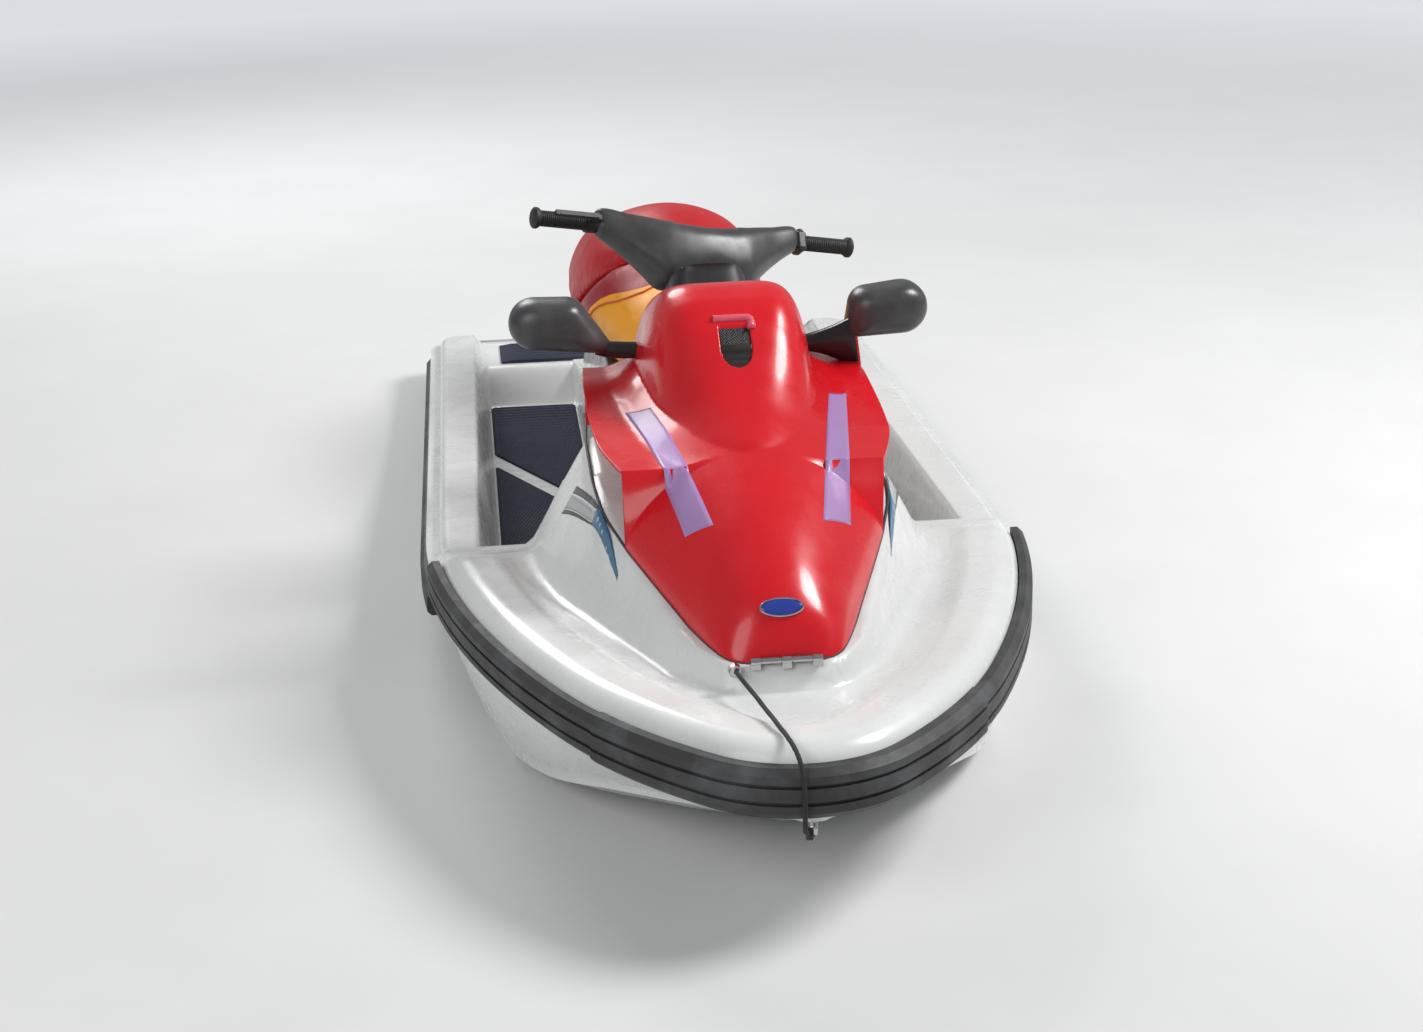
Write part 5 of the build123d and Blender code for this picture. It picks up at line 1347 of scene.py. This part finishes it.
def build_vent():
    """A dark plate in the shield: slats towards the bow, a bar, and mesh above it."""
    ys = spread((VENT_Y - 35.9, VENT_Y + 36), (1.2,))
    lines = spread((-1, 1), (0.04,))
    verts = []
    for y in ys:
        along = (y - VENT_Y + VENT_LONG / 2) / VENT_LONG
        for u in lines:
            x = u * VENT_HALF * float(vent_width(along)) * 0.985
            z = max(height_at(hood_skin, x, y), height_at(hump_skin, x, y)) - VENT_SUNK
            slat = SLAT * (math.sin((y - VENT_Y) * 2 * math.pi / SLAT_PITCH) > 0.2) * (along < VENT_BAR_FROM)
            across, lengthwise = (math.sin(v * 2 * math.pi / WEAVE_PITCH) for v in (x, y))
            weave = WEAVE * across * lengthwise * (along > VENT_BAR_TO)
            bar = VENT_BAR * (VENT_BAR_FROM < along < VENT_BAR_TO)
            verts.append(place(x, y, z - slat + bar + weave))
    grille = add_mesh("vent_grille", verts, grid_faces(len(ys), len(lines)), "hood", MESH, 40)
    change(face_up(grille), "SOLIDIFY", thickness=FILM_THICK, offset=-1)
    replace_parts(grille, "vent_mesh")


def build_ledge():
    """The small raised ledge over the vent, turned down at its port end. Its pale pink is the hood's red with
    a painted highlight in it.
    """
    line = [(x, LEDGE_Y) for x in np.linspace(-36, 27, 16)]
    line += [(31, LEDGE_Y - 3), (32, LEDGE_Y - 8), (32, LEDGE_Y - 14), (31.5, LEDGE_Y - 20)]
    points = [(x, y, height_at(hood_height, x, y) - 1) for x, y in line]
    tube("vent_ledge", points, LEDGE_R, "hood", LEDGE_PAINTED_HIGHLIGHT, 14)


def badge_skin(name, rows, mat):
    """A closed oval form on the hood's nose, from the badge's rows."""
    out = Vector((0, -math.sin(BADGE_LEAN), math.cos(BADGE_LEAN)))
    across, above = Vector((1, 0, 0)), Vector((0, math.cos(BADGE_LEAN), math.sin(BADGE_LEAN)))
    rings = []
    for reach, lift in rows:
        centre = BADGE_SPOT + out * lift
        wide, tall = across * (BADGE_WIDE + reach), above * (BADGE_TALL + reach)
        spots = [centre + wide * math.cos(turn) + tall * math.sin(turn) for turn in round_turn(48)]
        rings.append([place(*spot) for spot in spots])
    return closed_skin(name, rings, "hood", mat, 35)


def build_badge():
    """A domed oval in a bright rim, left blank."""
    face = badge_skin("badge_face", BADGE_FACE, BADGE)
    badge_skin("badge_rim", BADGE_RIM, STEEL)
    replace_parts(face, "badge")


def build_strips():
    """Blank strips along the hood's sides and wedges on the deck beside it."""
    for name, corners in STRIPS.items():
        surface_film("strip_" + name, corners, hood_height, "hood", STRIP, 60, 6)
    for side, name in reversed(SIDES):
        tip = WEDGE_TIPS[name]
        films = [("blue", WEDGE_BLUE, 6, ((262, WEDGE_FORE_Y), (277, WEDGE_FORE_Y), tip, tip))]
        for part, mat, wide, aft, fore in WEDGES:
            corners = [(x, WEDGE_AFT_Y) for x in aft] + [(x, WEDGE_FORE_Y) for x in fore]
            films.append((part, mat, wide, corners))
        for part, mat, wide, corners in films:
            corners = [(side * x, y) for x, y in corners]
            surface_film(f"wedge_{part}_{name}", corners, deck_height, "hull", mat, 40, wide)


build_vent()
build_ledge()
build_badge()
build_strips()


# Mats: pads of ribbed foam with rounded edges

MAT_THICK = 6
MAT_EDGE = 7
MAT_STEP = 3.0
MAT_COLUMNS = 26
MAT_RIB, MAT_PITCH = 1.1, 12
MAT_INNER_X = 212
MAT_OUTER_X = 433
PLATFORM_MAT = ((-400, 1247), (400, 1247), (400, 1416), (-400, 1416))


def mat_pad(name, corners, base, node_name):
    """A pad on a floor: four plan corners, ribs across it and a soft edge."""
    a, b, c, d = corners
    length = max(math.dist(a, d), math.dist(b, c))
    rows = int(length / MAT_STEP)
    verts = []
    for u in shares_of(rows):
        for v in shares_of(MAT_COLUMNS):
            x, y = between(corners, u, v)
            edge = min(u * length, (1 - u) * length, v * 200, (1 - v) * 200)
            rise = MAT_THICK * min(1, math.sqrt(max(edge, 0) / MAT_EDGE))
            rib = MAT_RIB * (math.sin(y * 2 * math.pi / MAT_PITCH) > 0) * (edge > MAT_EDGE + 2)
            verts.append(place(x, y, base + rise - rib))
    pad = add_mesh(name, verts, grid_faces(rows + 1, MAT_COLUMNS + 1), "hull", MAT, 60)
    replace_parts(face_up(pad), node_name)


def build_mats():
    """Two pads in each footwell, divided on a slant, and one on the platform."""
    for side, name in SIDES:
        inner, outer = side * MAT_INNER_X, side * MAT_OUTER_X
        front = ((inner, -305), (outer, -305), (outer, 650), (inner, 245))
        rear = ((inner, 335), (outer, 740), (outer, 1113), (inner, 1113))
        mat_pad("foot_pad_front_" + name, front, WELL_FLOOR, "mat_front_" + name)
        mat_pad("foot_pad_rear_" + name, rear, WELL_FLOOR, "mat_rear_" + name)
    mat_pad("platform_pad", PLATFORM_MAT, PLATFORM, "platform_mat")


build_mats()


# Bow line: the route of its tube, as the control points of one smooth line

LINE_ROUTE = (
    (-7, -1552, 409), (-15, -1568, 418), (-18, -1580, 440), (-18, -1582, 472), (-19, -1581, 504),
    (-21, -1571, 531), (-26, -1549, 548), (-36, -1505, 556), (-84, -1279, 560),
)
LINE_R = 4
STRANDS = 3
STRAND_TWIST = 0.9
KNOT_R = 6.5
KNOT_LINE_R = 3.6
KNOT_TURNS = 2.5
KNOT_STEPS = 60


def build_line():
    """The bow line as a rope along its smooth line, with the hitch on the towing eye."""
    data = bpy.data.curves.new("line_route", "CURVE")
    data.dimensions = "3D"
    data.resolution_u = 24
    spline = data.splines.new("NURBS")
    spline.points.add(len(LINE_ROUTE) - 1)
    for point, spot in zip(spline.points, LINE_ROUTE):
        point.co = (*place(*spot), 1)
    spline.order_u = 3
    spline.use_endpoint_u = True
    route = add_object("line_route", data)
    mesh = bpy.data.meshes.new_from_object(route)
    path = [tuple(v.co) for v in mesh.vertices]
    bpy.data.objects.remove(route)
    points = [in_millimetres(p) for p in path]
    rope = tube("bow_rope", points, LINE_R, "hull", ROPE, 18, STRANDS, STRAND_TWIST)
    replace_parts(rope, "bow_line")
    knot = build_knot()


def build_knot():
    """Turns of rope round the eye, drawn up into one knot."""
    points = []
    for t in shares_of(KNOT_STEPS):
        turn = 2 * math.pi * KNOT_TURNS * t
        points.append((-13 + 12 * t, -1552 + KNOT_R * math.cos(turn), 409 + KNOT_R * math.sin(turn)))
    knot = tube("bow_knot", points, KNOT_LINE_R, "hull", ROPE, 12)
    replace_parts(knot, "line_knot")
    return knot


build_line()


# Stage: floor, light and camera, in metres and degrees

CAMERA_PLACE = (-0.46188, -4.45924, 1.79562)
CAMERA_AZIMUTH = -6.20
CAMERA_ELEVATION = 20.66
CAMERA_ROLL = -1.12
CAMERA_LENS = 55.95
FLOOR_REACH = 60
WORLD_LIGHT = 0.36
WORLD_SEEN = 0.85
FAR_GLOW = 0.52

# Lamps: name, place, what it points at, size and power
LAMPS = (
    ("key", (4.2, -0.6, 4.6), (0, -0.2, 0.4), 2.2, 330),
    ("fill", (-3.6, -4.2, 3.4), (0, -0.6, 0.3), 3.5, 110),
    ("back", (-1.5, 4.5, 3.6), (0, 0.3, 0.5), 2.5, 130),
)


def build_camera():
    """The camera at the photograph's place and angle, as fitted."""
    a, e, roll = (math.radians(v) for v in (CAMERA_AZIMUTH, CAMERA_ELEVATION, CAMERA_ROLL))
    back = Vector((math.sin(a) * math.cos(e), -math.cos(a) * math.cos(e), math.sin(e)))
    right = (-back).cross(Vector((0, 0, 1))).normalized()
    up = right.cross(-back)
    across = math.cos(roll) * right + math.sin(roll) * up
    above = -math.sin(roll) * right + math.cos(roll) * up
    data = bpy.data.cameras.new("camera")
    data.lens = CAMERA_LENS
    data.sensor_width = 36
    data.sensor_fit = "HORIZONTAL"
    data.clip_end = 100
    camera = add_object("camera", data)
    turn = Matrix((across, above, back)).transposed().to_4x4()
    camera.matrix_world = Matrix.Translation(CAMERA_PLACE) @ turn
    bpy.context.scene.camera = camera


def build_lamps():
    for name, spot, target, size, power in LAMPS:
        data = bpy.data.lights.new(name, "AREA")
        data.shape = "DISK"
        data.size = size
        data.energy = power
        lamp = add_object(name, data)
        lamp.location = spot
        lamp.rotation_euler = (Vector(target) - Vector(spot)).to_track_quat("-Z", "Y").to_euler()


def floor_material():
    """Pale floor, which glows a little to the camera where it is far away."""
    mat, tree, shader = new_material("floor", 0.7, specular=0.2)
    tone = mottle(tree, coords(tree), 2, 4, 0.3, 0.7)
    colour = blend_colours(tree, tone, (0.66, 0.66, 0.655), (0.69, 0.69, 0.685))
    tree.links.new(colour, shader.inputs["Base Color"])
    away = node(tree, "ShaderNodeVectorMath", operation="LENGTH")
    tree.links.new(coords(tree), away.inputs[0])
    seen = node(tree, "ShaderNodeLightPath").outputs["Is Camera Ray"]
    far = remap(tree, away.outputs["Value"], 3, 9, 0, FAR_GLOW)
    shader.inputs["Emission Color"].default_value = (0.9, 0.93, 1, 1)
    tree.links.new(calculate(tree, "MULTIPLY", far, seen), shader.inputs["Emission Strength"])
    return mat


def build_floor():
    """A flat floor at the waterline."""
    mesh = bpy.data.meshes.new("floor")
    far = FLOOR_REACH
    mesh.from_pydata([(-far, -far, 0), (far, -far, 0), (far, far, 0), (-far, far, 0)], [], [(0, 1, 2, 3)])
    mesh.materials.append(floor_material())
    add_object("floor", mesh)


def build_world():
    """Soft even light from all round, brighter where the camera sees it."""
    world = bpy.data.worlds.new("world")
    world.use_nodes = True
    tree = world.node_tree
    background = tree.nodes["Background"]
    background.inputs["Color"].default_value = (0.80, 0.82, 0.85, 1)
    seen = node(tree, "ShaderNodeLightPath").outputs["Is Camera Ray"]
    tree.links.new(remap(tree, seen, 0, 1, WORLD_LIGHT, WORLD_SEEN), background.inputs["Strength"])
    bpy.context.scene.world = world


build_camera()
build_floor()
build_world()
build_lamps()
bpy.context.scene.view_settings.view_transform = "Standard"
